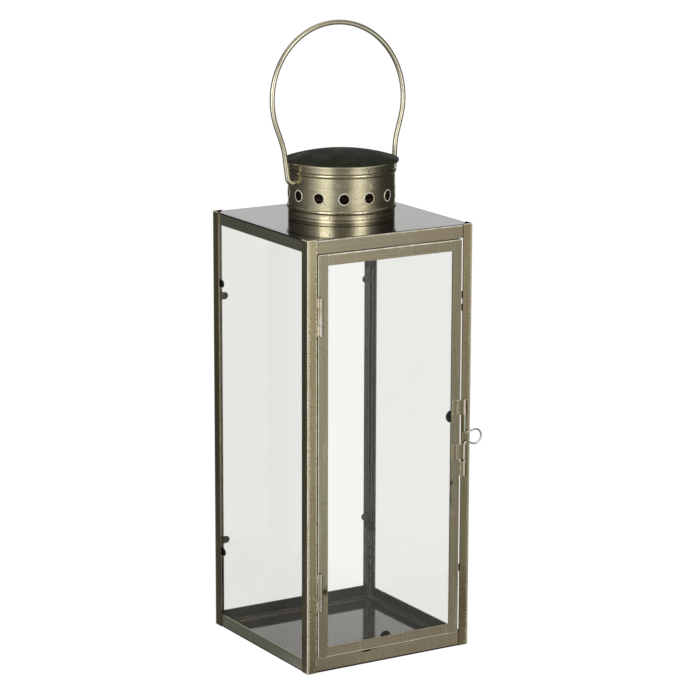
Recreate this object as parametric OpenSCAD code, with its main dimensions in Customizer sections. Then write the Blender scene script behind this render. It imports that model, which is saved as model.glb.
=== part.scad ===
// Square sheet-metal lantern with glass sides, a hinged glass door,
// a sliding wire bolt, a vented chimney with a domed cap and a wire carrying handle.
// Origin at the centre of the underside, +Z up, the door faces -Y.

/* [Body] */
// Outside width and depth across the corner posts
body_w = 150; // [135:1:190]
// Height of the corner posts
body_h = 346.4; // [320:0.1:420]
// Thickness of the sheet metal
sheet = 0.9; // [0.7:0.05:1.1]

/* [Posts and rails] */
// Flange width of a corner post on the front and back
post_face_w = 8.4; // [8:0.1:12]
// Flange width of a corner post on the left and right
post_side_w = 8.8; // [8:0.1:12]
// How far the posts stand above the roof
post_proud = 0.4; // [0:0.1:1]
// Height of the top rails at the front and back, with the roof's edge
face_top_rail_h = 10.8; // [8:0.1:14]
// Height of the top rails at the sides, with the roof's edge
side_top_rail_h = 9.6; // [8:0.1:14]
// Height of the bottom rails at the front and back, with the floor's edge
face_bottom_rail_h = 11.2; // [8:0.1:14]
// Height of the bottom rails at the sides, with the floor's edge
side_bottom_rail_h = 10.4; // [8:0.1:14]
// Depth of the rails' inward legs
rail_leg = 6; // [4:0.1:8]

/* [Glass] */
// Thickness of the glass
glass_t = 2; // [1.5:0.1:2.5]
// Space between a pane and what bounds its free edges
glass_play = 0.5; // [0.3:0.1:0.9]
// Space between the edge of a pane and the plane of the next pane's inner face
corner_space = 1.2; // [1:0.1:2]
// Thickness of the bent tabs that hold the glass
tab_t = 0.6; // [0.4:0.05:0.8]
// Width of the tabs on the fixed panes
tab_w = 6; // [4:0.1:9]
// Reach of the side panes' tabs from the outside of the body
side_tab_reach = 12.7; // [10.5:0.1:22]
// Reach of the back pane's tabs from the outside of the body
back_tab_reach = 12.4; // [10.5:0.1:22]
// Distance of the side panes' upper tabs from the body's top
side_tab_top_inset = 58.4; // [50:0.1:60]
// Distance of the side panes' lower tabs from the ground
side_tab_bottom_inset = 63.5; // [50:0.1:65]
// Distance of the back pane's upper tabs from the body's top
back_tab_top_inset = 69.7; // [68:0.1:80]
// Distance of the back pane's lower tabs from the ground
back_tab_bottom_inset = 72.2; // [72:0.1:85]

/* [Door] */
// Gap between a door stile and the post beside it
door_gap = 1.2; // [1.2:0.1:1.8]
// Gap between the door and the top rail
door_head_gap = 0.8; // [0.4:0.1:2]
// Gap between the door and the bottom rail
door_foot_gap = 0.4; // [0.3:0.1:1.5]
// Width of the door's stiles
stile_w = 8.8; // [8.6:0.1:12]
// Height of the door's rails
door_rail_h = 8.7; // [8:0.1:12]
// Depth of the door's return legs
door_leg = 6; // [5:0.1:8]
// Width of the tabs that hold the door's glass
door_tab_w = 10; // [6:0.1:12]
// Reach of the door's tabs from the door's outer edge
door_tab_reach = 12.2; // [10:0.1:14]
// Height of the middle of the tab on the latch stile
latch_tab_z = 191.8; // [120:0.1:260]
// Place of the tab on the bottom rail, left of the middle
foot_tab_x = -2; // [-30:0.1:30]
// Distance of the middle of the door stop below the body's top
stop_inset = 67; // [66:0.1:100]
// Height of the door stop
stop_w = 5.5; // [4:0.1:8]
// How far the door stop reaches behind the stile
stop_lap = 3; // [2:0.1:5]
// Width of the door stop's foot on the post
stop_foot_w = 4.4; // [3:0.1:6]
// Gap between the door stop and the stile
stop_gap = 0.3; // [0.2:0.05:0.6]

/* [Hinges] */
// Length of a hinge barrel
hinge_len = 29.6; // [24:0.1:36]
// Length of the middle knuckle
knuckle_mid = 13.2; // [8:0.1:16]
// Gap between neighbouring knuckles
knuckle_gap = 0.3; // [0.2:0.05:0.5]
// Outer radius of a knuckle
knuckle_r = 1.5; // [1.4:0.05:1.7]
// Thickness of the leaves
leaf_t = 0.7; // [0.5:0.05:0.8]
// Distance of a hinge's axis from the edge of the door
hinge_inset = 1.5; // [1.2:0.1:1.8]
// Space between a frame leaf's plate behind the post and the tabs of the pane beside it
leaf_space = 0.4; // [0.3:0.05:1]
// Depth of the door leaf along the stile's return leg
door_leaf_w = 4.6; // [3:0.1:5]
// Radius of the hinge pins
pin_r = 0.8; // [0.6:0.05:0.9]
// Radial running clearance of pins and bolt in their barrels
running_play = 0.05; // [0.02:0.01:0.1]
// Radius of the pins' peened heads
pin_head_r = 1.25; // [1.1:0.05:1.4]
// Thickness of the pins' peened heads
pin_head_t = 0.6; // [0.4:0.1:1]
// Distance from the body's top down to the upper hinge
upper_hinge_inset = 45.2; // [40:0.1:80]
// Height of the lower hinge's underside
lower_hinge_z = 51.4; // [35:0.1:80]
// Gap between a barrel and the face it lies in front of
barrel_lift = 0.3; // [0.3:0.05:0.6]

/* [Latch] */
// Radius of the bolt's wire
bolt_r = 0.75; // [0.65:0.05:0.9]
// Outer radius of the guides' and the keeper's barrels
guide_r = 1.55; // [1.5:0.05:1.8]
// Distance of the bolt's axis from the edge of the post
latch_off = 1.95; // [1.6:0.05:2.2]
// Width of the guides' plates on the stile
guide_plate_w = 8; // [5:0.1:8.5]
// Height of the guides
guide_h = 12; // [9:0.1:14]
// Height of the lower guide's underside
lower_guide_z = 156.6; // [150:0.1:160]
// Height of the upper guide's underside
upper_guide_z = 193; // [188:0.1:210]
// Height of the keeper
keeper_h = 11.8; // [10:0.1:13]
// Gap between the keeper and the lower guide
keeper_drop = 2.2; // [1:0.1:4]
// Depth of the keeper's leaf behind the post
keeper_leaf_w = 5; // [3:0.1:6]
// How far the bolt's tip reaches into the keeper
bolt_engage = 9.5; // [6:0.1:9.8]
// How far the bolt's other end lies below the top of the upper guide
bolt_top_inset = 0.6; // [0.2:0.1:3]
// Radius of the finger ring, to the wire's centre line
ring_r = 5.95; // [5:0.05:7]
// Distance of the ring's centre from the bolt's axis
ring_off = 9.6; // [9.5:0.1:12]
// Radius of the bends that lead into the ring, to the wire's centre line
ring_bend_r = 1.6; // [1.2:0.1:1.8]
// Height from the ring's centre to where the upper bend leaves the axis
ring_rise = 5.8; // [5.2:0.1:6.5]
// Height from the ring's centre down to where the lower bend leaves the axis
ring_drop = 5; // [4.6:0.1:6]
// Gap under the lower bend when the bolt is down
bolt_seat = 0.3; // [0.2:0.05:0.6]

/* [Chimney] */
// Outer radius of the chimney
chimney_r = 42.4; // [36:0.1:43.5]
// Height of the chimney above the roof
chimney_h = 47.2; // [46:0.1:60]
// How far the rolled beads stand out
bead_out = 1.1; // [0.8:0.05:1.5]
// Height of the lower bead above the roof
lower_bead_z = 10.5; // [8.5:0.1:11]
// Distance of the upper bead below the chimney's top
upper_bead_drop = 8; // [6:0.1:9]
// Number of vent holes
vents = 13; // [8:1:16]
// Radius of a vent hole
vent_r = 4; // [3:0.1:5]
// Height of the vent holes above the roof
vent_z = 21.6; // [20:0.1:22]
// Direction of the first vent hole
vent_turn = -118; // [-180:1:180]
// Height of the collar inside the chimney's foot
collar_h = 5; // [3:0.1:5.5]
// Width of the collar's flange under the roof
collar_flange = 6; // [4:0.1:10]
// Clearance between sheet-metal pieces that slip into each other
slip_play = 0.1; // [0.05:0.05:0.2]

/* [Cap] */
// Outer radius of the cap
cap_r = 45.5; // [45.5:0.1:48]
// Height of the dome above its rim
cap_rise = 7.2; // [5:0.1:16]
// Height of the cap's turned-down lip
cap_lip = 1.2; // [1:0.1:3]

/* [Handle] */
// Radius of the handle's wire
handle_r = 2; // [1.4:0.05:2.1]
// Radius of the handle's bow, to the wire's centre line
bow_r = 59.9; // [59:0.1:66]
// Height of the bow's centre above the roof
bow_z = 94; // [90:0.1:97]
// Inward lean of the legs above their knees in degrees
leg_lean = 19; // [17:0.5:20]
// Distance of the legs' feet from the chimney, to the wire's centre line
foot_clear = 6.3; // [5.5:0.1:7]
// Distance of the knees below the bow's centre
knee_drop = 35.6; // [33:0.1:38]
// Radius of the knees, to the wire's centre line
knee_r = 60; // [20:1:70]
// Radius of the elbows, to the wire's centre line
elbow_r = 4.5; // [3:0.1:5]
// Height of the handle's pivot above the roof
pivot_z = 31.2; // [31:0.1:32]
// Backward lean of the whole handle about its pivot in degrees
handle_lean = 4.5; // [0:0.5:10]
// Radial clearance of the handle in its holes
pivot_play = 0.3; // [0.2:0.05:0.4]
// How far the handle's ends reach inside the chimney
pivot_poke = 3; // [2:0.1:6]

/* [Hidden] */
$fn = 96;
wire_fn = 48;
cut = 1;
bend_lap = 0.05;
bend_step = 0.012;

body_half = body_w / 2;
frame_half = body_half - sheet;
pane_inner = frame_half - sheet - glass_t;
pane_half = pane_inner - corner_space;
roof_z = body_h - post_proud;

post_edge = body_half - post_face_w;
stop_z = body_h - stop_inset;
door_half = post_edge - door_gap;
door_low = face_bottom_rail_h + door_foot_gap;
door_high = roof_z - face_top_rail_h - door_head_gap;
door_inner = door_half - sheet;

leaf_gap = 0.1;
frame_leaf_w = pane_inner - tab_t - leaf_space - (post_edge - leaf_gap);
hinge_x = -door_half + hinge_inset;
hinge_y = -(body_half + barrel_lift + knuckle_r);
upper_hinge_z = body_h - upper_hinge_inset - hinge_len;
pin_bore_r = pin_r + running_play;
outer_knuckle = (hinge_len - knuckle_mid) / 2 - knuckle_gap;
hinge_strap_y = hinge_y + knuckle_r - leaf_t;

latch_x = post_edge + latch_off;
latch_y = -(body_half + barrel_lift + guide_r);
latch_strap_y = latch_y + guide_r - leaf_t;
guide_bore_r = bolt_r + running_play;
lower_guide_top = lower_guide_z + guide_h;
keeper_z = lower_guide_z - keeper_drop - keeper_h;
ring_z = lower_guide_top + bolt_seat + ring_drop;
bolt_tip_z = keeper_z + keeper_h - bolt_engage;
bolt_top_z = upper_guide_z + guide_h - bolt_top_inset;

chimney_bore_r = chimney_r - sheet;
bead_r = bead_out + sheet;
bead_zs = [lower_bead_z, chimney_h - upper_bead_drop];
collar_r = chimney_bore_r - slip_play;
cap_sphere_r = (cap_r * cap_r + cap_rise * cap_rise) / (2 * cap_rise);
knee_z = bow_z - knee_drop;

METAL = [0.50, 0.47, 0.38];
DARK_METAL = [0.24, 0.24, 0.20];
BRIGHT_METAL = [0.62, 0.56, 0.40];
PLATE_METAL = [0.56, 0.55, 0.50];
GLASS = [0.86, 0.90, 0.88, 0.35];

// Angle post: the front left one, turned over for the other corners
module corner_post(to_right, to_back) {
  mirror([to_right ? 1 : 0, 0, 0])
    mirror([0, to_back ? 1 : 0, 0])
      translate([-body_half, -body_half, 0])
        linear_extrude(height = body_h)
          polygon([
            [0, 0], [post_face_w, 0], [post_face_w, sheet],
            [sheet, sheet], [sheet, post_side_w], [0, post_side_w]
          ]);
}

// Angle rail between two posts, mitred at both ends, front one turned to its side
module mitred_rail(turn, low, high, leg_z) {
  rotate([0, 0, turn])
    intersection() {
      union() {
        translate([-frame_half, -frame_half, low])
          cube([2 * frame_half, sheet, high - low]);
        translate([-frame_half, -frame_half, leg_z])
          cube([2 * frame_half, rail_leg, sheet]);
      }
      linear_extrude(height = body_h)
        polygon([[-frame_half, -frame_half], [frame_half, -frame_half], [0, 0]]);
    }
}

module top_rail(turn, rail_h) {
  mitred_rail(turn, roof_z - rail_h, roof_z - sheet, roof_z - 2 * sheet);
}

module bottom_rail(turn, rail_h) {
  mitred_rail(turn, sheet, rail_h, sheet);
}

// Square plate between the posts' flanges, its underside at the given height
module body_plate(low) {
  translate([-frame_half, -frame_half, low])
    cube([2 * frame_half, 2 * frame_half, sheet]);
}

// Fixed pane at the back, turned to its side: it stands on the bottom rail's leg
module pane(turn) {
  pane_low = 2 * sheet;
  pane_high = roof_z - 2 * sheet - glass_play;
  color(GLASS)
    rotate([0, 0, turn])
      translate([-pane_half, pane_inner, pane_low])
        cube([2 * pane_half, glass_t, pane_high - pane_low]);
}

// Flat strip in the X-Z plane from X = 0, with a round end, its back at Y = 0
module round_strip(reach, width, thick) {
  rotate([90, 0, 0])
    linear_extrude(height = thick)
      union() {
        translate([0, -width / 2])
          square([reach - width / 2, width]);
        translate([reach - width / 2, 0])
          circle(r = width / 2);
      }
}

// Bent tab: its foot lies on a flange at X = 0, its strip lies over the glass at Y = 0
module bent_tab(reach, width, foot_depth) {
  round_strip(reach, width, tab_t);
  translate([0, -tab_t, -width / 2])
    cube([tab_t, foot_depth + tab_t, width]);
}

// Four tabs over one fixed pane, two on each post
module pane_tabs(turn, reach, low, high) {
  color(METAL)
    rotate([0, 0, turn])
      for (side = [0, 1], z = [low, high])
        mirror([side, 0, 0])
          translate([-frame_half, pane_inner, z])
            bent_tab(reach - sheet, tab_w, frame_half - pane_inner);
}

// Stile of the door: an angle whose return leg stands along the gap
module door_stile() {
  translate([0, 0, door_low])
    linear_extrude(height = door_high - door_low)
      polygon([
        [-door_half, -body_half], [-door_half + stile_w, -body_half],
        [-door_half + stile_w, -frame_half], [-door_inner, -frame_half],
        [-door_inner, -body_half + door_leg], [-door_half, -body_half + door_leg]
      ]);
}

// Rail of the door: its face lies between the stiles, its return leg behind them
module door_rail(low, leg_low) {
  face_half = door_half - stile_w;
  translate([-face_half, -body_half, low])
    cube([2 * face_half, sheet, door_rail_h]);
  translate([-door_inner, -frame_half, leg_low])
    cube([2 * door_inner, door_leg - sheet, sheet]);
  translate([-face_half, -body_half, leg_low])
    cube([2 * face_half, door_leg, sheet]);
}

// Frame leaf: two knuckles whose straps bend through the gap to a plate behind the post
module hinge_frame_leaf(low) {
  neck_x = -post_edge + leaf_gap;
  neck_depth = -frame_half + leaf_t - hinge_strap_y;
  color(BRIGHT_METAL)
    translate([0, 0, low])
      union() {
        for (z = [0, hinge_len - outer_knuckle])
          translate([0, 0, z])
            difference() {
              union() {
                translate([hinge_x, hinge_y, 0])
                  cylinder(r = knuckle_r, h = outer_knuckle, $fn = wire_fn);
                translate([neck_x, hinge_strap_y, 0])
                  cube([hinge_x - neck_x, leaf_t, outer_knuckle]);
                translate([neck_x, hinge_strap_y, 0])
                  cube([leaf_t, neck_depth, outer_knuckle]);
              }
              translate([hinge_x, hinge_y, -cut])
                cylinder(r = pin_bore_r, h = outer_knuckle + 2 * cut, $fn = wire_fn);
            }
        translate([neck_x - frame_leaf_w, -frame_half, 0])
          cube([frame_leaf_w, leaf_t, hinge_len]);
      }
}

// Door leaf: the middle knuckle and a strap that bends onto the stile's return leg
module hinge_door_leaf(low) {
  neck_x = -door_half - leaf_t;
  neck_depth = -body_half + door_leaf_w - hinge_strap_y;
  color(BRIGHT_METAL)
    translate([0, 0, low + outer_knuckle + knuckle_gap])
      difference() {
        union() {
          translate([hinge_x, hinge_y, 0])
            cylinder(r = knuckle_r, h = knuckle_mid, $fn = wire_fn);
          translate([neck_x, hinge_strap_y, 0])
            cube([hinge_x - neck_x, leaf_t, knuckle_mid]);
          translate([neck_x, hinge_strap_y, 0])
            cube([leaf_t, neck_depth, knuckle_mid]);
        }
        translate([hinge_x, hinge_y, -cut])
          cylinder(r = pin_bore_r, h = knuckle_mid + 2 * cut, $fn = wire_fn);
      }
}

// Pin with a peened head at both ends
module hinge_pin(low) {
  color(DARK_METAL)
    translate([hinge_x, hinge_y, low])
      union() {
        cylinder(r = pin_r, h = hinge_len, $fn = wire_fn);
        for (z = [-pin_head_t, hinge_len])
          translate([0, 0, z])
            cylinder(r = pin_head_r, h = pin_head_t, $fn = wire_fn);
      }
}

// Guide on the latch stile: a plate, a strap over the gap and a barrel for the bolt
module latch_guide(low) {
  strap_start = door_half - guide_plate_w / 2;
  color(BRIGHT_METAL)
    translate([0, 0, low])
      difference() {
        union() {
          translate([door_half - guide_plate_w, -body_half - leaf_t, 0])
            cube([guide_plate_w, leaf_t, guide_h]);
          translate([strap_start, latch_strap_y, 0])
            cube([latch_x - strap_start, leaf_t, guide_h]);
          translate([latch_x, latch_y, 0])
            cylinder(r = guide_r, h = guide_h, $fn = wire_fn);
        }
        translate([latch_x, latch_y, -cut])
          cylinder(r = guide_bore_r, h = guide_h + 2 * cut, $fn = wire_fn);
      }
}

// Arc of wire in the X-Z plane, angles run from +X towards +Z. It is a hair thinner than
// the straight wire, so that its ends lap into the runs they meet.
module wire_arc(centre, bend_r, wire_r, start, sweep) {
  lap = bend_lap / bend_r * 180 / PI;
  translate([centre[0], 0, centre[1]])
    rotate([90, 0, 0])
      rotate([0, 0, start - lap])
        rotate_extrude(angle = sweep + 2 * lap)
          translate([bend_r, 0])
            circle(r = wire_r - bend_step, $fn = wire_fn);
}

// Straight wire in the X-Z plane from one point to another
module wire_run(from, to, wire_r) {
  step = to - from;
  translate([from[0], 0, from[1]])
    rotate([0, atan2(step[0], step[1]), 0])
      cylinder(r = wire_r, h = norm(step), $fn = wire_fn);
}

// Slope of the straight neck that touches a bend at the given height and the ring
function neck_slope(height) =
  let (across = ring_off - ring_bend_r)
    asin((ring_r + ring_bend_r) / norm([across, height])) - atan2(height, across);

// Bend and neck from the bolt's axis to the ring, above the ring's centre
module ring_neck(height) {
  slope = neck_slope(height);
  bend_end = [ring_bend_r * (1 + sin(slope)), height - ring_bend_r * cos(slope)];
  ring_start = [ring_off - ring_r * sin(slope), ring_r * cos(slope)];
  wire_arc([ring_bend_r, height], ring_bend_r, bolt_r, 180, 90 + slope);
  wire_run(bend_end, ring_start, bolt_r);
}

module post_front_left() color(METAL) corner_post(false, false);
module post_front_right() color(METAL) corner_post(true, false);
module post_back_left() color(METAL) corner_post(false, true);
module post_back_right() color(METAL) corner_post(true, true);

module top_rail_front() color(METAL) top_rail(0, face_top_rail_h);
module top_rail_right() color(METAL) top_rail(90, side_top_rail_h);
module top_rail_back() color(METAL) top_rail(180, face_top_rail_h);
module top_rail_left() color(METAL) top_rail(270, side_top_rail_h);

module bottom_rail_front() color(METAL) bottom_rail(0, face_bottom_rail_h);
module bottom_rail_right() color(METAL) bottom_rail(90, side_bottom_rail_h);
module bottom_rail_back() color(METAL) bottom_rail(180, face_bottom_rail_h);
module bottom_rail_left() color(METAL) bottom_rail(270, side_bottom_rail_h);

// Roof with the flue hole that the collar passes through
module roof_plate() {
  color(PLATE_METAL)
    difference() {
      body_plate(roof_z - sheet);
      translate([0, 0, roof_z - sheet - cut])
        cylinder(r = chimney_bore_r, h = sheet + 2 * cut);
    }
}

module floor_plate() color(PLATE_METAL) body_plate(0);

// Half section of the chimney: wall, two hollow beads and the flange that bears the cap
module chimney_section() {
  difference() {
    union() {
      translate([chimney_bore_r, 0])
        square([sheet, chimney_h]);
      translate([chimney_bore_r, chimney_h - sheet])
        square([cap_r - sheet - slip_play - chimney_bore_r, sheet]);
      for (z = bead_zs)
        translate([chimney_bore_r, z])
          circle(r = bead_r);
    }
    for (z = bead_zs)
      translate([chimney_bore_r, z])
        circle(r = bead_r - sheet);
    square([chimney_bore_r, chimney_h]);
  }
}

// Chimney with its ring of vent holes and the two handle holes
module chimney() {
  color(METAL)
    difference() {
      translate([0, 0, roof_z])
        rotate_extrude()
          chimney_section();
      for (i = [0 : vents - 1])
        rotate([0, 0, vent_turn + i * 360 / vents])
          translate([chimney_bore_r - 2 * cut, 0, roof_z + vent_z])
            rotate([0, 90, 0])
              cylinder(r = vent_r, h = sheet + 3 * cut, $fn = wire_fn);
      translate([-chimney_r - cut, 0, roof_z + pivot_z])
        rotate([0, 90, 0])
          cylinder(r = handle_r + pivot_play, h = 2 * (chimney_r + cut), $fn = wire_fn);
    }
}

// Collar inside the chimney's foot, flanged under the roof
module chimney_collar() {
  color(DARK_METAL)
    translate([0, 0, roof_z - 2 * sheet])
      difference() {
        union() {
          cylinder(r = collar_r, h = collar_h + 2 * sheet);
          cylinder(r = collar_r + collar_flange, h = sheet);
        }
        translate([0, 0, -cut])
          cylinder(r = collar_r - sheet, h = collar_h + 2 * (sheet + cut));
      }
}

// Shallow dome with a turned-down lip round the chimney's flange
module chimney_cap() {
  color(DARK_METAL)
    translate([0, 0, roof_z + chimney_h])
      rotate_extrude()
        union() {
          difference() {
            intersection() {
              translate([0, cap_rise - cap_sphere_r])
                circle(r = cap_sphere_r, $fn = 4 * $fn);
              square([cap_r, cap_rise]);
            }
            translate([0, cap_rise - cap_sphere_r])
              circle(r = cap_sphere_r - sheet, $fn = 4 * $fn);
          }
          translate([cap_r - sheet, -cap_lip])
            square([sheet, cap_lip]);
        }
}

module glass_left() pane(90);
module glass_right() pane(-90);
module glass_back() pane(0);

module side_pane_tabs(turn) {
  pane_tabs(turn, side_tab_reach, side_tab_bottom_inset, body_h - side_tab_top_inset);
}

module glass_tabs_left() side_pane_tabs(90);
module glass_tabs_right() side_pane_tabs(-90);
module glass_tabs_back() {
  pane_tabs(0, back_tab_reach, back_tab_bottom_inset, body_h - back_tab_top_inset);
}

// Bent strip on the front right post: the door's latch stile closes against it
module door_stop() {
  stop_y = -body_half + door_leg + stop_gap;
  color(METAL)
    translate([0, 0, stop_z - stop_w / 2]) {
      translate([post_edge, -frame_half, 0])
        cube([stop_foot_w, tab_t, stop_w]);
      translate([post_edge, -frame_half, 0])
        cube([tab_t, stop_y + frame_half + tab_t, stop_w]);
      translate([door_half - stop_lap, stop_y, 0])
        cube([post_edge - door_half + stop_lap, tab_t, stop_w]);
    }
}

module door_hinge_stile() color(METAL) door_stile();
module door_latch_stile() color(METAL) mirror([1, 0, 0]) door_stile();
module door_top_rail() color(METAL) door_rail(door_high - door_rail_h, door_high - sheet);
module door_bottom_rail() color(METAL) door_rail(door_low, door_low);

// Door glass: it stands on the bottom rail's return leg, behind the faces
module door_glass() {
  glass_half = door_inner - glass_play;
  low = door_low + sheet;
  high = door_high - sheet - glass_play;
  color(GLASS)
    translate([-glass_half, -frame_half, low])
      cube([2 * glass_half, glass_t, high - low]);
}

// Two tabs over the door glass, on the latch stile and on the bottom rail
module door_glass_tabs() {
  tab_y = -frame_half + glass_t;
  foot = door_leg - sheet - glass_t - tab_t;
  color(METAL) {
    translate([door_inner, tab_y, latch_tab_z])
      rotate([0, 0, 180])
        door_tab(foot);
    translate([foot_tab_x, tab_y, door_low + sheet])
      rotate([0, -90, 0])
        mirror([0, 1, 0])
          door_tab(foot);
  }
}

// Tab whose foot stands away from the glass, on a return leg at X = 0
module door_tab(foot) {
  round_strip(door_tab_reach - sheet, door_tab_w, tab_t);
  translate([0, -tab_t - foot, -door_tab_w / 2])
    cube([tab_t, foot + tab_t, door_tab_w]);
}

module upper_hinge_frame_leaf() hinge_frame_leaf(upper_hinge_z);
module upper_hinge_door_leaf() hinge_door_leaf(upper_hinge_z);
module upper_hinge_pin() hinge_pin(upper_hinge_z);
module lower_hinge_frame_leaf() hinge_frame_leaf(lower_hinge_z);
module lower_hinge_door_leaf() hinge_door_leaf(lower_hinge_z);
module lower_hinge_pin() hinge_pin(lower_hinge_z);

module latch_upper_guide() latch_guide(upper_guide_z);
module latch_lower_guide() latch_guide(lower_guide_z);

// Keeper: a barrel for the bolt's tip, its strap bends through the gap behind the post
module latch_keeper() {
  leaf_x = post_edge - leaf_gap - leaf_t;
  color(BRIGHT_METAL)
    translate([0, 0, keeper_z])
      difference() {
        union() {
          translate([latch_x, latch_y, 0])
            cylinder(r = guide_r, h = keeper_h, $fn = wire_fn);
          translate([leaf_x, latch_strap_y, 0])
            cube([latch_x - leaf_x, leaf_t, keeper_h]);
          translate([leaf_x, latch_strap_y, 0])
            cube([leaf_t, -frame_half + leaf_t - latch_strap_y, keeper_h]);
          translate([leaf_x, -frame_half, 0])
            cube([leaf_t + keeper_leaf_w, leaf_t, keeper_h]);
        }
        translate([latch_x, latch_y, -cut])
          cylinder(r = guide_bore_r, h = keeper_h + 2 * cut, $fn = wire_fn);
      }
}

// Bolt of one bent wire: a rod to the keeper, a finger ring and a rod in the upper guide
module latch_bolt() {
  upper_slope = neck_slope(ring_rise);
  lower_slope = neck_slope(ring_drop);
  color(BRIGHT_METAL)
    translate([latch_x, latch_y, ring_z])
      union() {
        wire_run([0, bolt_tip_z - ring_z], [0, -ring_drop], bolt_r);
        mirror([0, 0, 1])
          ring_neck(ring_drop);
        wire_arc([ring_off, 0], ring_r, bolt_r, -90 - lower_slope, 180 + upper_slope + lower_slope);
        ring_neck(ring_rise);
        wire_run([0, ring_rise], [0, bolt_top_z - ring_z], bolt_r);
      }
}

// Half of the handle: an end in its hole, an elbow and a leg with a knee up to the bow
module handle_side() {
  leg_top = [bow_r * cos(leg_lean), bow_z - bow_r * sin(leg_lean)];
  knee = [leg_top[0] - (leg_top[1] - knee_z) * tan(leg_lean), knee_z];
  foot_x = chimney_r + foot_clear;
  foot_lean = atan2(knee[0] - foot_x, knee_z - pivot_z);
  knee_trim = knee_r * tan((leg_lean - foot_lean) / 2);
  knee_high = knee + knee_trim * [sin(leg_lean), cos(leg_lean)];
  knee_low = knee - knee_trim * [sin(foot_lean), cos(foot_lean)];
  knee_centre = knee_low + knee_r * [cos(foot_lean), -sin(foot_lean)];
  elbow_trim = elbow_r * tan((90 - foot_lean) / 2);
  elbow = [foot_x - elbow_trim, pivot_z + elbow_r];
  leg_low = elbow + elbow_r * [cos(foot_lean), -sin(foot_lean)];
  wire_run([chimney_bore_r - pivot_poke, pivot_z], [elbow[0], pivot_z], handle_r);
  wire_arc(elbow, elbow_r, handle_r, -90, 90 - foot_lean);
  wire_run(leg_low, knee_low, handle_r);
  wire_arc(knee_centre, knee_r, handle_r, 180 - leg_lean, leg_lean - foot_lean);
  wire_run(knee_high, leg_top, handle_r);
}

// Carrying handle of one bent wire, its ends sprung into the chimney
module carry_handle() {
  color(METAL)
    translate([0, 0, roof_z + pivot_z])
      rotate([-handle_lean, 0, 0])
        translate([0, 0, -pivot_z])
          union() {
            wire_arc([0, bow_z], bow_r, handle_r, -leg_lean, 180 + 2 * leg_lean);
            for (side = [0, 1])
              mirror([side, 0, 0])
                handle_side();
          }
}

post_front_left();
post_front_right();
post_back_left();
post_back_right();
top_rail_front();
top_rail_right();
top_rail_back();
top_rail_left();
bottom_rail_front();
bottom_rail_right();
bottom_rail_back();
bottom_rail_left();
roof_plate();
floor_plate();
chimney();
chimney_collar();
chimney_cap();
glass_left();
glass_right();
glass_back();
glass_tabs_left();
glass_tabs_right();
glass_tabs_back();
door_stop();
door_hinge_stile();
door_latch_stile();
door_top_rail();
door_bottom_rail();
door_glass();
door_glass_tabs();
upper_hinge_frame_leaf();
upper_hinge_door_leaf();
upper_hinge_pin();
lower_hinge_frame_leaf();
lower_hinge_door_leaf();
lower_hinge_pin();
latch_upper_guide();
latch_lower_guide();
latch_keeper();
latch_bolt();
carry_handle();
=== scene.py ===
"""Looks of a square sheet-metal candle lantern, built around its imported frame.

Metres, +Z up, the door faces -Y. Sheet pieces are merged copies of the frame's own
solids with their folds and cut edges rounded. The chimney, its cap and the bent wires
are modelled here from the same sizes.
"""

import logging
import math
from dataclasses import dataclass, field, replace
from enum import Enum
from typing import Callable, Iterable, Mapping, Sequence

import bmesh
import bpy
from bmesh.types import BMEdge, BMFace, BMesh, BMVert
from mathutils import Matrix, Vector


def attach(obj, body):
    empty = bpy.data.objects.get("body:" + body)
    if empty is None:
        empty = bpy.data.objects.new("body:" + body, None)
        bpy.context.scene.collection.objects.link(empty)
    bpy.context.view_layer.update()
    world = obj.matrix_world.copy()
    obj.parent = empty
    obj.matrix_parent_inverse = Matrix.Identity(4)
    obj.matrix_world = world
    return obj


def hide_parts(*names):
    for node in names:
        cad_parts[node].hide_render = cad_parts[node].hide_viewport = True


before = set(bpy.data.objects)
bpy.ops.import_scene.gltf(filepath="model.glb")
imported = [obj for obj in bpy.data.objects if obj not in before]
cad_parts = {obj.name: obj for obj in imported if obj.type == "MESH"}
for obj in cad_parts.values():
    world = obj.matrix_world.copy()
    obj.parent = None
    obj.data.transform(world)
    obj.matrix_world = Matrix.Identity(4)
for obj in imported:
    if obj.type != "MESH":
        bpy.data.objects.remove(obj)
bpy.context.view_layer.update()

MM = 0.001
WELD = 2e-6
SEAM_WELD = 10 * WELD
BODY_HALF = 75 * MM
BODY_TOP = 346 * MM
CUT_WIDTH = 1.3 * MM  # Faces narrower than this are cuts through the sheet
STRIP_WIDTH = 1.0 * MM  # Faces wider than this are no strips of a rolled barrel
FACING = 0.9  # A face looks along an axis if its normal reaches further than this
STRIP_SMOOTH = 20.0  # Rolled strips, wires and the chimney are shaded smooth below these
WIRE_SMOOTH = 35.0
TURNED_SMOOTH = 32.0
LOG = logging.getLogger("lantern")
Colour = tuple[float, float, float, float]
Pairs = tuple[tuple[float, float], ...]
Tree = bpy.types.NodeTree
Socket = bpy.types.NodeSocket
Piece = bpy.types.Object


def linear(hex_colour: str) -> Colour:
    """Turns an sRGB hex colour into linear light.

    Args:
        hex_colour: Six hex digits with a leading hash.

    Returns:
        Red, green, blue and an alpha of 1.
    """
    channels = [int(hex_colour[i : i + 2], 16) / 255 for i in (1, 3, 5)]
    lit = [c / 12.92 if c <= 0.04045 else ((c + 0.055) / 1.055) ** 2.4 for c in channels]
    return (lit[0], lit[1], lit[2], 1.0)


def grey(level: float) -> Colour:
    """A grey of that linear level."""
    return (level, level, level, 1.0)


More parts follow.
